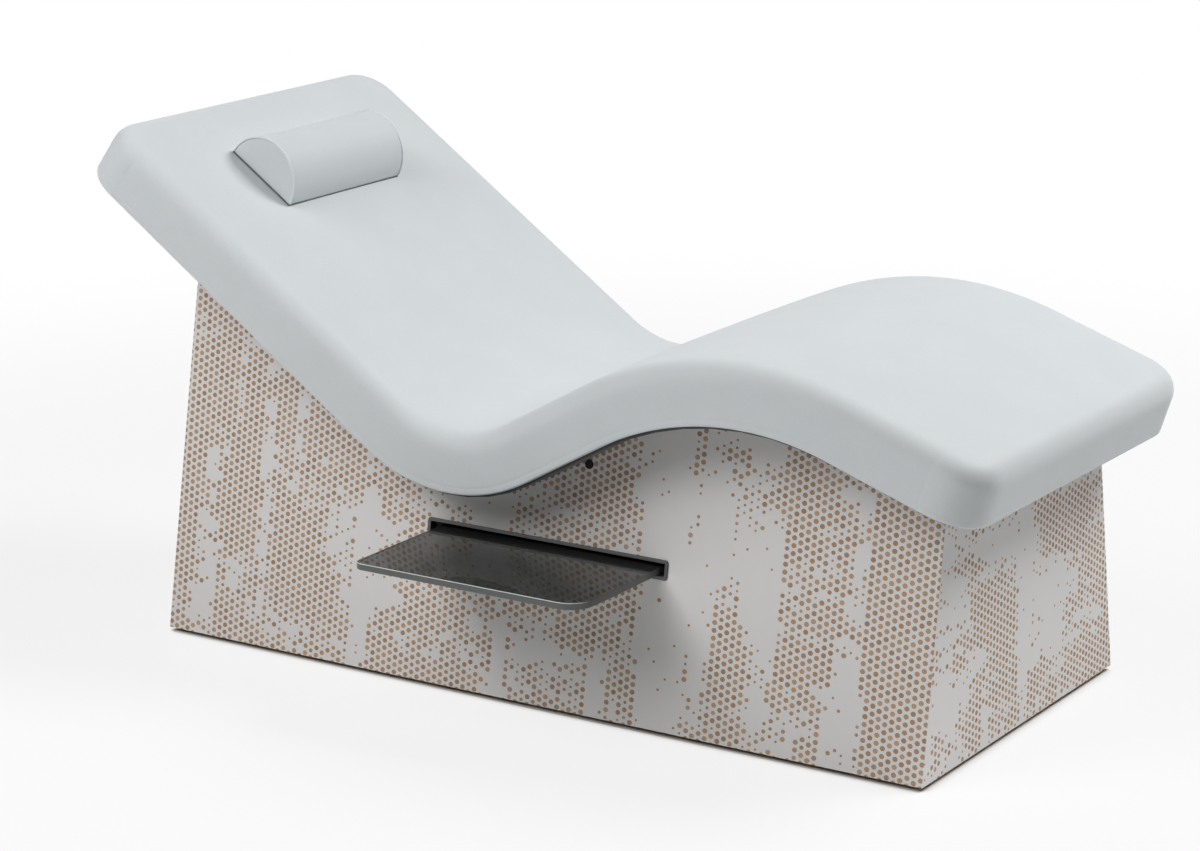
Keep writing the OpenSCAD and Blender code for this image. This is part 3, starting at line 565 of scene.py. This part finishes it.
class Wave:
    """The cushion's lengthwise line, by distance s from the head end along the top face: the
    back, thigh and calf sections, with the seat's and the knee's bend between them."""

    def __init__(self, form):
        self.slopes = form.back_slope, form.thigh_slope, form.calf_slope
        self.radii = form.seat_radius, form.knee_radius
        seat_turn = form.back_slope + form.thigh_slope
        knee_turn = form.thigh_slope + form.calf_slope
        seat_tangent = form.seat_radius * math.tan(seat_turn / 2)
        knee_tangent = form.knee_radius * math.tan(knee_turn / 2)
        self.head = (np.array([-form.seat_back, form.seat_height])
                     - form.back * self.along(-form.back_slope))
        s_back = form.back - seat_tangent
        s_seat = s_back + form.seat_radius * seat_turn
        s_thigh = s_seat + form.thigh - seat_tangent - knee_tangent
        s_knee = s_thigh + form.knee_radius * knee_turn
        self.stops = s_back, s_seat, s_thigh, s_knee
        self.end = s_knee + form.calf - knee_tangent

    @staticmethod
    def along(angle):
        return np.stack([np.cos(angle), np.sin(angle)], -1)

    @staticmethod
    def square_to(angle):
        return np.stack([-np.sin(angle), np.cos(angle)], -1)

    def place(self, s, n, y):
        """Points at distance s along the top face, n above it and y across."""
        s, n, y = np.broadcast_arrays(*(np.asarray(part, float) for part in (s, n, y)))
        back, thigh, calf = self.slopes
        seat_radius, knee_radius = self.radii
        s_back, s_seat, s_thigh, s_knee = self.stops
        # The slope that each bend has brought the line to by now
        seat = -back + (np.clip(s, s_back, s_seat) - s_back) / seat_radius
        knee = thigh - (np.clip(s, s_thigh, s_knee) - s_thigh) / knee_radius
        tilt = np.where(s < s_thigh, seat, knee)
        flat = (self.head + np.minimum(s, s_back)[..., None] * self.along(-back)
                + seat_radius * (self.square_to(-back) - self.square_to(seat))
                + (np.clip(s, s_seat, s_thigh) - s_seat)[..., None] * self.along(thigh)
                + knee_radius * (self.square_to(knee) - self.square_to(thigh))
                + np.maximum(s - s_knee, 0.0)[..., None] * self.along(-calf)
                + n[..., None] * self.square_to(tilt))
        return np.stack([flat[..., 0], y, flat[..., 1]], -1)


def add_piece(name, points, faces, finish, smooth=True):
    """A mesh object made of points and faces, with one finish."""
    mesh = bpy.data.meshes.new(name)
    mesh.from_pydata([tuple(point) for point in points], [], [tuple(face) for face in faces])
    mesh.validate()
    piece = bpy.data.objects.new(name, mesh)
    bpy.context.scene.collection.objects.link(piece)
    mesh.materials.append(finish)
    if smooth:
        mesh.polygons.foreach_set("use_smooth", [True] * len(mesh.polygons))
    return piece


def coordinates(mesh):
    spots = np.empty(len(mesh.vertices) * 3)
    mesh.vertices.foreach_get("co", spots)
    return spots.reshape(-1, 3)


def joined(rings):
    """Quads between each closed ring of points and the next."""
    faces = []
    for low, high in zip(rings, rings[1:]):
        for i in range(len(low)):
            j = (i + 1) % len(low)
            faces.append((low[i], low[j], high[j], high[i]))
    return faces


def evened(piece, values, pinned, rounds):
    """The points' values, each drawn towards the mean of its neighbours round after round."""
    count = len(values)
    ends = np.array([edge.vertices for edge in piece.data.edges])
    both = np.concatenate([ends, ends[:, ::-1]])
    neighbours = np.bincount(both[:, 0], minlength=count)
    free = np.ones(count, bool)
    free[list(pinned)] = False
    for _ in range(rounds):
        mean = np.bincount(both[:, 0], values[both[:, 1]], count) / np.maximum(neighbours, 1)
        values = np.where(free, mean, values)
    return values


def settle(piece, pinned, swell, pressure, frames=20, rounds=40):
    """Swells the piece as a pressed cover. Pinned points stay, every other point keeps the
    part of its move that is square to the surface, evened out and up to a cap."""
    inward = 0.1
    group = piece.vertex_groups.new(name="held")
    group.add([int(index) for index in pinned], 1.0, "REPLACE")
    cloth = piece.modifiers.new("cover", "CLOTH")
    own = cloth.settings
    own.quality = 6
    own.mass = 0.35
    own.tension_stiffness = own.compression_stiffness = 22.0
    own.shear_stiffness = 12.0
    own.bending_stiffness = 1.5
    own.use_pressure = True
    own.uniform_pressure_force = pressure
    own.vertex_group_mass = group.name
    own.effector_weights.gravity = 0.0
    cloth.collision_settings.use_collision = False
    cloth.collision_settings.use_self_collision = False
    cloth.point_cache.frame_start = 1
    cloth.point_cache.frame_end = frames
    before = coordinates(piece.data)
    scene = bpy.context.scene
    for step in range(1, frames + 1):
        scene.frame_set(step)
    after = coordinates(piece.evaluated_get(bpy.context.evaluated_depsgraph_get()).data)
    piece.modifiers.remove(cloth)
    piece.vertex_groups.clear()
    scene.frame_set(1)
    move = after - before
    if not np.isfinite(move).all() or np.abs(move).max() < 1e-6:
        raise RuntimeError(f"{piece.name}: the cover didn't settle")
    normals = np.array([vertex.normal for vertex in piece.data.vertices])
    out = (move * normals).sum(axis=1)
    out = np.where(out > 0, 1.0, inward) * swell * np.tanh(out / swell)
    out[list(pinned)] = 0.0
    out = evened(piece, out, pinned, rounds)[:, None]
    piece.data.vertices.foreach_set("co", (before + out * normals).ravel())
    piece.data.update()


def crease(piece, pairs):
    """Keeps these edges sharp when the mesh is subdivided."""
    wanted = {tuple(sorted(pair)) for pair in pairs}
    marks = piece.data.attributes.new("crease_edge", "FLOAT", "EDGE")
    values = [1.0 if tuple(sorted(edge.vertices)) in wanted else 0.0 for edge in piece.data.edges]
    marks.data.foreach_set("value", values)


def subdivide(piece):
    smoothing = piece.modifiers.new("smooth", "SUBSURF")
    smoothing.levels = smoothing.render_levels = 1


class CushionMesh:
    """Rows across the wave and levels up its side, as one closed form of quads."""
    # How far the cover is turned in under the deck's edge
    flap = 0.0025
    # Half widths of the hem's seam and of the upright seams
    groove, stitch = 0.0018, 0.0016
    # Distance from an end at which the crown has its full height
    crown_run = 0.040
    # Height over the underside from which the start size counts in full
    full_height = 0.05

    def __init__(self, form, wave):
        self.form, self.wave = form, wave
        self.half = form.width / 2 - form.corner
        turns = np.radians(np.linspace(0, 90, 9))
        head, straight, foot = turns[:-1], self.stations(), turns[1:]
        # A row's place along the wave, and how far the corner's radius moves it along and across
        self.s_base = np.array([form.corner] * len(head) + straight
                               + [wave.end - form.corner] * len(foot))
        self.s_gain = np.array([-math.cos(turn) for turn in head] + [0.0] * len(straight)
                               + [math.sin(turn) for turn in foot])
        self.y_gain = np.array([math.sin(turn) for turn in head] + [1.0] * len(straight)
                               + [math.cos(turn) for turn in foot])
        self.rows = len(self.s_base)
        self.columns = 2 * int(round(form.width / form.pitch / 2))
        last, cols = self.rows - 1, self.columns
        self.rim = ([(k, 0) for k in range(self.rows)] + [(last, c) for c in range(1, cols)]
                    + [(k, cols) for k in range(last, -1, -1)]
                    + [(0, c) for c in range(cols - 1, 0, -1)])

    def stations(self):
        """Distances of the straight part's rows, with narrow rows at the upright seams."""
        form, end = self.form, self.wave.end
        fixed = [form.corner]
        for seam in (form.seam_head, end - form.seam_foot):
            fixed += [seam - self.stitch, seam, seam + self.stitch]
        fixed.append(end - form.corner)
        rows = fixed[:1]
        for start, stop in zip(fixed, fixed[1:]):
            steps = max(1, math.ceil((stop - start) / form.pitch))
            rows += [start + (stop - start) * i / steps for i in range(1, steps + 1)]
        return rows

    def levels(self):
        """(inset, height) from the deck's recess, under the flap, round the hem and up."""
        form = self.form
        low, high = -form.thickness, -form.roll
        under = [(form.deck_in, low), (form.deck_in - self.flap, low)]
        arc = np.radians([0, 22, 45, 68, 90])
        hem = [(form.hem * (1 - math.sin(a)), low + form.hem * (1 - math.cos(a))) for a in arc]
        seam = low + form.hem_height
        line = [(0.0, seam - self.groove), (form.seam_depth, seam), (0.0, seam + self.groove)]
        side = [(0.0, seam + (high - seam) * part) for part in (0.22, 0.48, 0.74, 1.0)]
        turn = np.radians(np.linspace(0, 90, 8)[1:])
        roll = [(form.roll * (1 - math.cos(a)), -form.roll * (1 - math.sin(a))) for a in turn]
        return under + hem + line, side, roll

    def grid(self, inset, height, crown=0.0):
        k, c = np.meshgrid(np.arange(self.rows), np.arange(self.columns + 1), indexing="ij")
        return self.spots(k, c, inset, height, crown).reshape(-1, 3)

    def spots(self, k, c, inset, height, crown=0.0):
        """Points of rows k and columns c, at an inset from the outline and a height."""
        reach = self.form.corner - inset
        s = self.s_base[k] + self.s_gain[k] * reach
        across = 2 * c / self.columns - 1
        y = across * (self.half + self.y_gain[k] * reach)
        run = np.clip(np.minimum(s - inset, self.wave.end - inset - s) / self.crown_run, 0, 1)
        lift = crown * (1 - across ** 2) * np.sin(np.pi / 2 * run)
        return self.wave.place(s, height + lift, y)

    def build(self):
        form, shrink = self.form, self.form.shrink
        tiers, side, roll = self.levels()
        low_tiers = len(tiers)
        for order, (inset, height) in enumerate(side + roll[:-1]):
            drawn_in = shrink * min(1.0, (height + form.thickness) / self.full_height)
            sink = shrink * max(0.0, (order - len(side) + 1) / len(roll))
            tiers.append((inset + drawn_in, height - sink))
        rim_k, rim_c = np.array(self.rim).T
        row, count = self.columns + 1, len(self.rim)
        edge = [k * row + c for k, c in self.rim]
        points, rings = [self.grid(form.deck_in, -form.deck_top)], [edge]
        total = len(points[0])
        for inset, height in tiers:
            points.append(self.spots(rim_k, rim_c, inset, height))
            rings.append(list(range(total, total + count)))
            total += count
        points.append(self.grid(form.roll, -shrink, form.crown))
        rings.append([total + spot for spot in edge])
        faces = []
        for k in range(self.rows - 1):
            for c in range(self.columns):
                a = k * row + c
                faces.append((a, a + 1, a + row + 1, a + row))
                b = total + a
                faces.append((b, b + row, b + row + 1, b + 1))
        faces += joined(rings)
        self.side_rings = rings[low_tiers:]
        self.held = range(rings[low_tiers][-1] + 1)
        self.creases = [pair for ring in rings[:2] for pair in zip(ring, ring[1:] + ring[:1])]
        return np.concatenate(points), faces

    def sew(self, points):
        """Presses the upright seams in, from the hem's seam up into the roll."""
        depths = [0.6] + [1.0] * 5 + [0.9 - 0.1 * step for step in range(6)]
        for seam in (self.form.seam_head, self.wave.end - self.form.seam_foot):
            # The corners' rows, which have an s_gain, are put out of the search's reach
            k = int(np.argmin(np.abs(self.s_base + 10 * np.abs(self.s_gain) - seam)))
            for column, inward in ((0, 1), (self.columns, -1)):
                i = self.rim.index((k, column))
                for ring, depth in zip(self.side_rings, depths):
                    points[ring[i], 1] += inward * self.form.seam_depth * depth
        return points


def pillow_ring(radius, sink, steps):
    """Arc of the pillow's section, from its lower edge over the top, in X and Z."""
    first = math.asin(sink / radius)
    angles = np.linspace(first, math.pi - first, steps + 1)
    return np.stack([radius * np.cos(angles), radius * np.sin(angles) - sink], -1)


class PillowMesh:
    """Half-round body with flat, slightly domed ends, as one closed form."""
    arc_steps, cap_steps, long_steps = 30, 5, 30
    # Height over the base from which the ends are domed in full
    dome_height = 0.012

    def __init__(self, form):
        self.form = form
        self.radius = (form.deep ** 2 / 4 + form.high ** 2) / (2 * form.high)
        self.sink = self.radius - form.high
        edge, half = form.edge, form.long / 2 - form.welt
        turns = np.radians([0, 30, 60, 90])
        # Distance across and how far the section is drawn in there
        eased = [(half - edge * (1 - math.cos(a)), edge * (1 - math.sin(a))) for a in turns]
        middle = np.linspace(-(half - edge), half - edge, self.long_steps + 1)[1:-1]
        self.places = [(-y, gap) for y, gap in eased] + [(y, 0.0) for y in middle] + eased[::-1]

    def build(self):
        form, n, m = self.form, self.arc_steps, self.cap_steps
        points, faces, rings, bases = [], [], [], []

        def add(x, y, z):
            points.append((x, y, z))
            return len(points) - 1

        for y, gap in self.places:
            arc = pillow_ring(self.radius - (gap + form.welt), self.sink, n)
            ring = [add(x, y, z) for x, z in arc]
            span = arc[0][0]
            inner = [add(span * math.cos(math.pi * i / n), y, 0.0) for i in range(1, n)]
            rings.append(ring)
            bases.append([ring[0]] + inner + [ring[-1]])
        for ring, further, base, beyond in zip(rings, rings[1:], bases, bases[1:]):
            for i in range(n):
                faces.append((ring[i], ring[i + 1], further[i + 1], further[i]))
                faces.append((base[i + 1], base[i], beyond[i], beyond[i + 1]))
        for end, sign in ((0, -1), (-1, 1)):
            ring, base = rings[end], bases[end]
            grid = []
            for i in range(n + 1):
                if i in (0, n):
                    grid.append([ring[i]] * (m + 1))
                    continue
                low, high = np.array(points[base[i]]), np.array(points[ring[i]])
                strip = [base[i]]
                for j in range(1, m):
                    spot = low + (high - low) * j / m
                    far = math.hypot(spot[0] / self.radius, (spot[2] + self.sink) / self.radius)
                    edge = min(1.0, spot[2] / self.dome_height)
                    spot[1] += sign * form.dome * max(0.0, 1 - far ** 3) * edge
                    strip.append(add(*spot))
                grid.append(strip + [ring[i]])
            for i in range(n):
                for j in range(m):
                    face = [grid[i][j], grid[i + 1][j], grid[i + 1][j + 1], grid[i][j + 1]]
                    clean = [v for at, v in enumerate(face) if v not in face[:at]]
                    if len(clean) > 2:
                        faces.append(tuple(clean if sign < 0 else clean[::-1]))
        # The base and the rounding at both ends stay while the body swells
        self.held = sorted({v for line in bases + rings[:4] + rings[-4:] for v in line})
        return np.array(points), faces


def tube(path, radius, sides=12):
    """A round cord along path, closed at both ends, with a slight pinch at every stitch."""
    stitch, pinch = 3, 0.94
    path = np.array(path)
    ahead = np.gradient(path, axis=0)
    ahead /= np.linalg.norm(ahead, axis=1, keepdims=True)
    points = []
    for k, (spot, way) in enumerate(zip(path, ahead)):
        side = np.cross(way, (0.0, 1.0, 0.0))
        side /= np.linalg.norm(side)
        other = np.cross(side, way)
        size = radius * (pinch if k % stitch == 0 else 1.0)
        for i in range(sides):
            angle = 2 * math.pi * i / sides
            points.append(spot + size * (math.cos(angle) * side + math.sin(angle) * other))
    rings = [range(start, start + sides) for start in range(0, len(points), sides)]
    return points, joined(rings) + [rings[0][::-1], rings[-1]]


def on_back(points, form, cushion, wave):
    """Points drawn on the pillow's flat base, laid on the cushion's back."""
    spot = wave.place(form.down + form.deep / 2, cushion.crown + form.gap, -form.shift)
    points = np.asarray(points, float)
    flat = (points[:, :1] * wave.along(-cushion.back_slope)
            + points[:, 2:] * wave.square_to(-cushion.back_slope))
    return spot + np.stack([flat[:, 0], points[:, 1], flat[:, 1]], -1)


def dress(finish, *nodes, edge=0.0, segments=2, clamp=True):
    """Gives CAD nodes a finish, and rounds their edges a little, as real ones are."""
    for name in nodes:
        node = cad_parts[name]
        node.data.materials.clear()
        node.data.materials.append(finish)
        if not edge:
            continue
        weld = node.modifiers.new("weld", "WELD")
        weld.merge_threshold = 0.00002
        bevel = node.modifiers.new("bevel", "BEVEL")
        bevel.width = edge
        bevel.segments = segments
        bevel.use_clamp_overlap = clamp
        bevel.limit_method = "ANGLE"
        bevel.angle_limit = math.radians(35)
        even = node.modifiers.new("even", "WEIGHTED_NORMAL")
        even.mode = "FACE_AREA"
        even.weight = 100
        even.keep_sharp = False


# Operators

class LOUNGER_OT_cushion(bpy.types.Operator):
    """Make the upholstered cushion"""
    bl_idname = "lounger.cushion"
    bl_label = "Make Cushion"

    def execute(self, context):
        form = context.scene.lounger.cushion
        plan = CushionMesh(form, Wave(form))
        points, faces = plan.build()
        finish = upholstery("cushion_cover_finish", form.cover, form.grain)
        piece = add_piece("cushion", points, faces, finish)
        settle(piece, plan.held, form.swell, form.pressure)
        piece.data.vertices.foreach_set("co", plan.sew(coordinates(piece.data)).ravel())
        crease(piece, plan.creases)
        subdivide(piece)
        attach(piece, "base")
        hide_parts("cushion_cover", "soft_foam", "firm_foam")
        return {"FINISHED"}

    @staticmethod
    def rough_swell(piece, plan, form):
        """Stands in for the settled cover while other pieces are worked on."""
        usual = 0.8
        normals = np.array([vertex.normal for vertex in piece.data.vertices])
        points = coordinates(piece.data)
        points[plan.held.stop:] += normals[plan.held.stop:] * form.swell * usual
        piece.data.vertices.foreach_set("co", points.ravel())


class LOUNGER_OT_pillow(bpy.types.Operator):
    """Make the head pillow with its piping and base"""
    bl_idname = "lounger.pillow"
    bl_label = "Make Pillow"

    def execute(self, context):
        settings = context.scene.lounger
        form, cushion = settings.pillow, settings.cushion
        wave, plan = Wave(cushion), PillowMesh(form)
        points, faces = plan.build()
        points[:, 2] += form.base + form.lift
        finish = upholstery("pillow_cover_finish", form.cover, form.grain)
        piece = add_piece("pillow", on_back(points, form, cushion, wave), faces, finish)
        settle(piece, plan.held, form.swell, form.pressure)
        subdivide(piece)
        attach(piece, "pillow")
        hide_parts("pillow_cover", "pillow_foam")
        self.add_piping(plan, form, cushion, wave)
        dress(rubber("grip_rubber_finish", form.rubber, shine=0.7), "pillow_base")
        return {"FINISHED"}

    @staticmethod
    def add_piping(plan, form, cushion, wave):
        # Painted highlight: the piping's colour is the pillow's cover lightened by 1.14, for the
        # light line along the welt
        finish = upholstery("pillow_piping_painted_highlight_finish", tint(form.cover, 1.14), form.grain)
        steps = 96
        arc = pillow_ring(plan.radius - form.piping, plan.sink + form.piping, steps)
        points, faces = [], []
        for sign in (-1, 1):
            y = sign * (form.long / 2 - form.piping)
            path = [(x, y, z + form.piping + form.base + form.lift / 2) for x, z in arc]
            cord_points, cord_faces = tube(path, form.piping)
            shift = len(points)
            points += cord_points
            faces += [tuple(index + shift for index in face) for face in cord_faces]
        piping = add_piece("pillow_seam", on_back(points, form, cushion, wave), faces, finish)
        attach(piping, "pillow")
        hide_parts("pillow_piping")


class LOUNGER_OT_panels(bpy.types.Operator):
    """Finish the base's four dotted panels and its plinth"""
    bl_idname = "lounger.panels"
    bl_label = "Finish Panels"

    def execute(self, context):
        look = context.scene.lounger.panels
        # For each panel: the axis along it, its lean, the side it faces, seed and added dots
        panels = {"shelf_side_panel": (X, look.side_lean, -1, 2.0, 0.025),
                  "plain_side_panel": (X, look.side_lean, 1, 11.0, 0.025),
                  "head_panel": (Y, look.end_lean, -1, 23.0, -0.03),
                  "foot_panel": (Y, look.end_lean, 1, 31.0, -0.095)}
        for node, layout in panels.items():
            dress(dotted_panel(f"{node}_finish", look, *layout), node, edge=0.0007)
        dress(painted_board("plinth_finish", look.plinth), "plinth_board", edge=0.001)
        return {"FINISHED"}


class LOUNGER_OT_shelf(bpy.types.Operator):
    """Finish the glass shelf, its trim and everything that it slides on"""
    bl_idname = "lounger.shelf"
    bl_label = "Finish Shelf"

    def execute(self, context):
        look = context.scene.lounger.shelf
        dress(smoked_glass("smoked_glass_finish", look), "glass_shelf", edge=0.0016, segments=3,
              clamp=False)
        dress(powder_coat("trim_finish", look.trim), "slot_trim", edge=0.0008)
        black = rubber("black_rubber_finish", look.rubber)
        dress(black, "cable_grommet", "front_stops", "rear_stops", edge=0.0006)
        dress(black, "clamp_gasket")
        dress(moulded("tray_finish", look.tray, shine=0.5), "shelf_tray", "tray_lid")
        dress(moulded("nylon_finish", look.nylon, shine=0.36), "front_glide", "head_side_shoe",
              "foot_side_shoe", edge=0.0005)
        dress(drawn_aluminium("rail_finish", look.aluminium, Y), "head_side_rail",
              "foot_side_rail", edge=0.0003)
        dress(drawn_aluminium("clamp_bar_finish", look.aluminium, X), "shelf_clamp_bar",
              edge=0.0003)
        dress(zinc_plate("zinc_finish", look.zinc), "plinth_screws", "panel_screws", "deck_screws",
              "rail_screws", "lid_screws", "shoe_screws")
        return {"FINISHED"}


class LOUNGER_OT_inside(bpy.types.Operator):
    """Finish the boards, battens and cloth inside the lounger"""
    bl_idname = "lounger.inside"
    bl_label = "Finish Inside"

    def execute(self, context):
        look = context.scene.lounger.inside
        dress(plywood("bulkhead_finish", look, X, Y), "head_bulkhead", "shelf_bulkhead_head",
              "shelf_bulkhead_foot", "foot_bulkhead")
        dress(plywood("floor_board_finish", look, Z, X), "floor_board", edge=0.0008)
        dress(plywood("deck_finish", look, Z, Y, look.stain), "deck_board")
        dress(softwood("batten_finish", look, Z), "corner_battens", edge=0.0008)
        dress(softwood("cleat_finish", look, Y), "deck_cleats", edge=0.0008)
        dress(felt("dust_cloth_finish", look), "dust_cover")
        dress(open_foam("foam_finish", look), "soft_foam", "firm_foam", "pillow_foam")
        return {"FINISHED"}


class LOUNGER_OT_stage(bpy.types.Operator):
    """Make the floor, the lights and the camera"""
    bl_idname = "lounger.stage"
    bl_label = "Make Stage"

    def execute(self, context):
        look = context.scene.lounger.stage
        self.add_world(context.scene, look)
        self.add_floor(look)
        # Each lamp's power in watts, its width and its place
        lamps = {"back_light": (look.back_power, 3.0, (3.0, 2.5, 5.0)),
                 "head_light": (look.head_power, 2.4, (-3.0, -3.0, 4.0)),
                 "front_light": (look.front_power, 2.4, (-1.5, -4.0, 3.5)),
                 "top_light": (look.top_power, 3.0, (0.0, -3.0, 5.0))}
        for name, (power, width, spot) in lamps.items():
            self.add_lamp(name, power, width, spot, look.aim)
        self.add_camera(context.scene, look)
        context.scene.view_settings.view_transform = "Standard"
        return {"FINISHED"}

    @staticmethod
    def seen(shading):
        """1 for rays that show the background: seen directly, mirrored or through glass."""
        rays = "Is Camera Ray", "Is Glossy Ray", "Is Transmission Ray"
        seen, mirrored, through = shading.outputs(shading.node("ShaderNodeLightPath"), *rays)
        return seen.most(mirrored).most(through)

    def add_world(self, scene, look):
        world = bpy.data.worlds.new("studio")
        scene.world = world
        w = Shading(world)
        lit = w.node("ShaderNodeBackground", None, {"Color": (1, 1, 1), "Strength": look.sky})
        shown = w.node("ShaderNodeBackground", None, {"Color": (1, 1, 1), "Strength": 1.0})
        w.node("ShaderNodeOutputWorld", None, {"Surface": w.blend(self.seen(w), lit, shown)})

    def add_floor(self, look):
        """A pale floor that shows as white away from the lounger. Its white is dimmed where a
        piece stands close over it, so that the gap under the panels stays dark."""
        f = Finish("floor_finish")
        x, y, z = f.parts(f.place)
        away = ((x * x + y * y) ** 0.5).rise(look.near_fade, look.far_fade)
        plain = f.node("ShaderNodeBsdfDiffuse", None, {"Color": look.floor_colour})
        white = f.node("ShaderNodeEmission", None, {"Color": (1, 1, 1), "Strength": 1.0})
        sky = f.node("ShaderNodeAmbientOcclusion", {"samples": 16}, {"Distance": look.gap}, "AO")
        amount_lit = self.seen(f) * (look.glow + away * (1 - look.glow)) * sky.rise(0.5, 0.72)
        finish = f.finished(f.blend(amount_lit, plain, white))
        size = look.floor_size
        corners = [(-size, -size, 0.0), (size, -size, 0.0), (size, size, 0.0), (-size, size, 0.0)]
        floor = add_piece("floor", corners, [(0, 1, 2, 3)], finish, smooth=False)

    @staticmethod
    def add_lamp(name, power, width, spot, aim):
        data = bpy.data.lights.new(name, "AREA")
        data.shape = "DISK"
        data.size = width
        data.energy = power
        lamp = bpy.data.objects.new(name, data)
        bpy.context.scene.collection.objects.link(lamp)
        lamp.location = spot
        lamp.rotation_euler = (Vector(spot) - Vector(aim)).to_track_quat("Z", "Y").to_euler()

    @staticmethod
    def add_camera(scene, look):
        data = bpy.data.cameras.new("camera")
        data.lens = look.lens
        data.sensor_width = 36.0
        camera = bpy.data.objects.new("camera", data)
        scene.collection.objects.link(camera)
        camera.location = look.stand
        turn, rise = look.azimuth, look.elevation
        back = Vector((math.sin(turn) * math.cos(rise), -math.cos(turn) * math.cos(rise),
                       math.sin(rise)))
        camera.rotation_euler = back.to_track_quat("Z", "Y").to_euler()
        scene.camera = camera


class LOUNGER_PT_dressing(bpy.types.Panel):
    """Lists the lounger's pieces and their settings"""
    bl_idname = "LOUNGER_PT_dressing"
    bl_label = "Lounger"
    bl_space_type = "VIEW_3D"
    bl_region_type = "UI"
    bl_category = "Lounger"

    def draw(self, context):
        settings = context.scene.lounger
        for group in ("cushion", "pillow", "panels", "shelf", "inside", "stage"):
            box = self.layout.box()
            box.operator(f"lounger.{group}")
            values = getattr(settings, group)
            for name in values.__annotations__:
                box.prop(values, name)


classes = (
    CushionSettings, PillowSettings, PanelSettings, ShelfSettings, InsideSettings, StageSettings,
    LoungerSettings, LOUNGER_OT_cushion, LOUNGER_OT_pillow, LOUNGER_OT_panels,
    LOUNGER_OT_shelf, LOUNGER_OT_inside, LOUNGER_OT_stage, LOUNGER_PT_dressing)


def register():
    for item in classes:
        bpy.utils.register_class(item)
    bpy.types.Scene.lounger = bpy.props.PointerProperty(type=LoungerSettings)


def unregister():
    del bpy.types.Scene.lounger
    for item in reversed(classes):
        bpy.utils.unregister_class(item)


def main():
    register()
    bpy.ops.lounger.stage()
    bpy.ops.lounger.cushion()
    bpy.ops.lounger.pillow()
    bpy.ops.lounger.panels()
    bpy.ops.lounger.shelf()
    bpy.ops.lounger.inside()


if __name__ == "__main__":
    main()
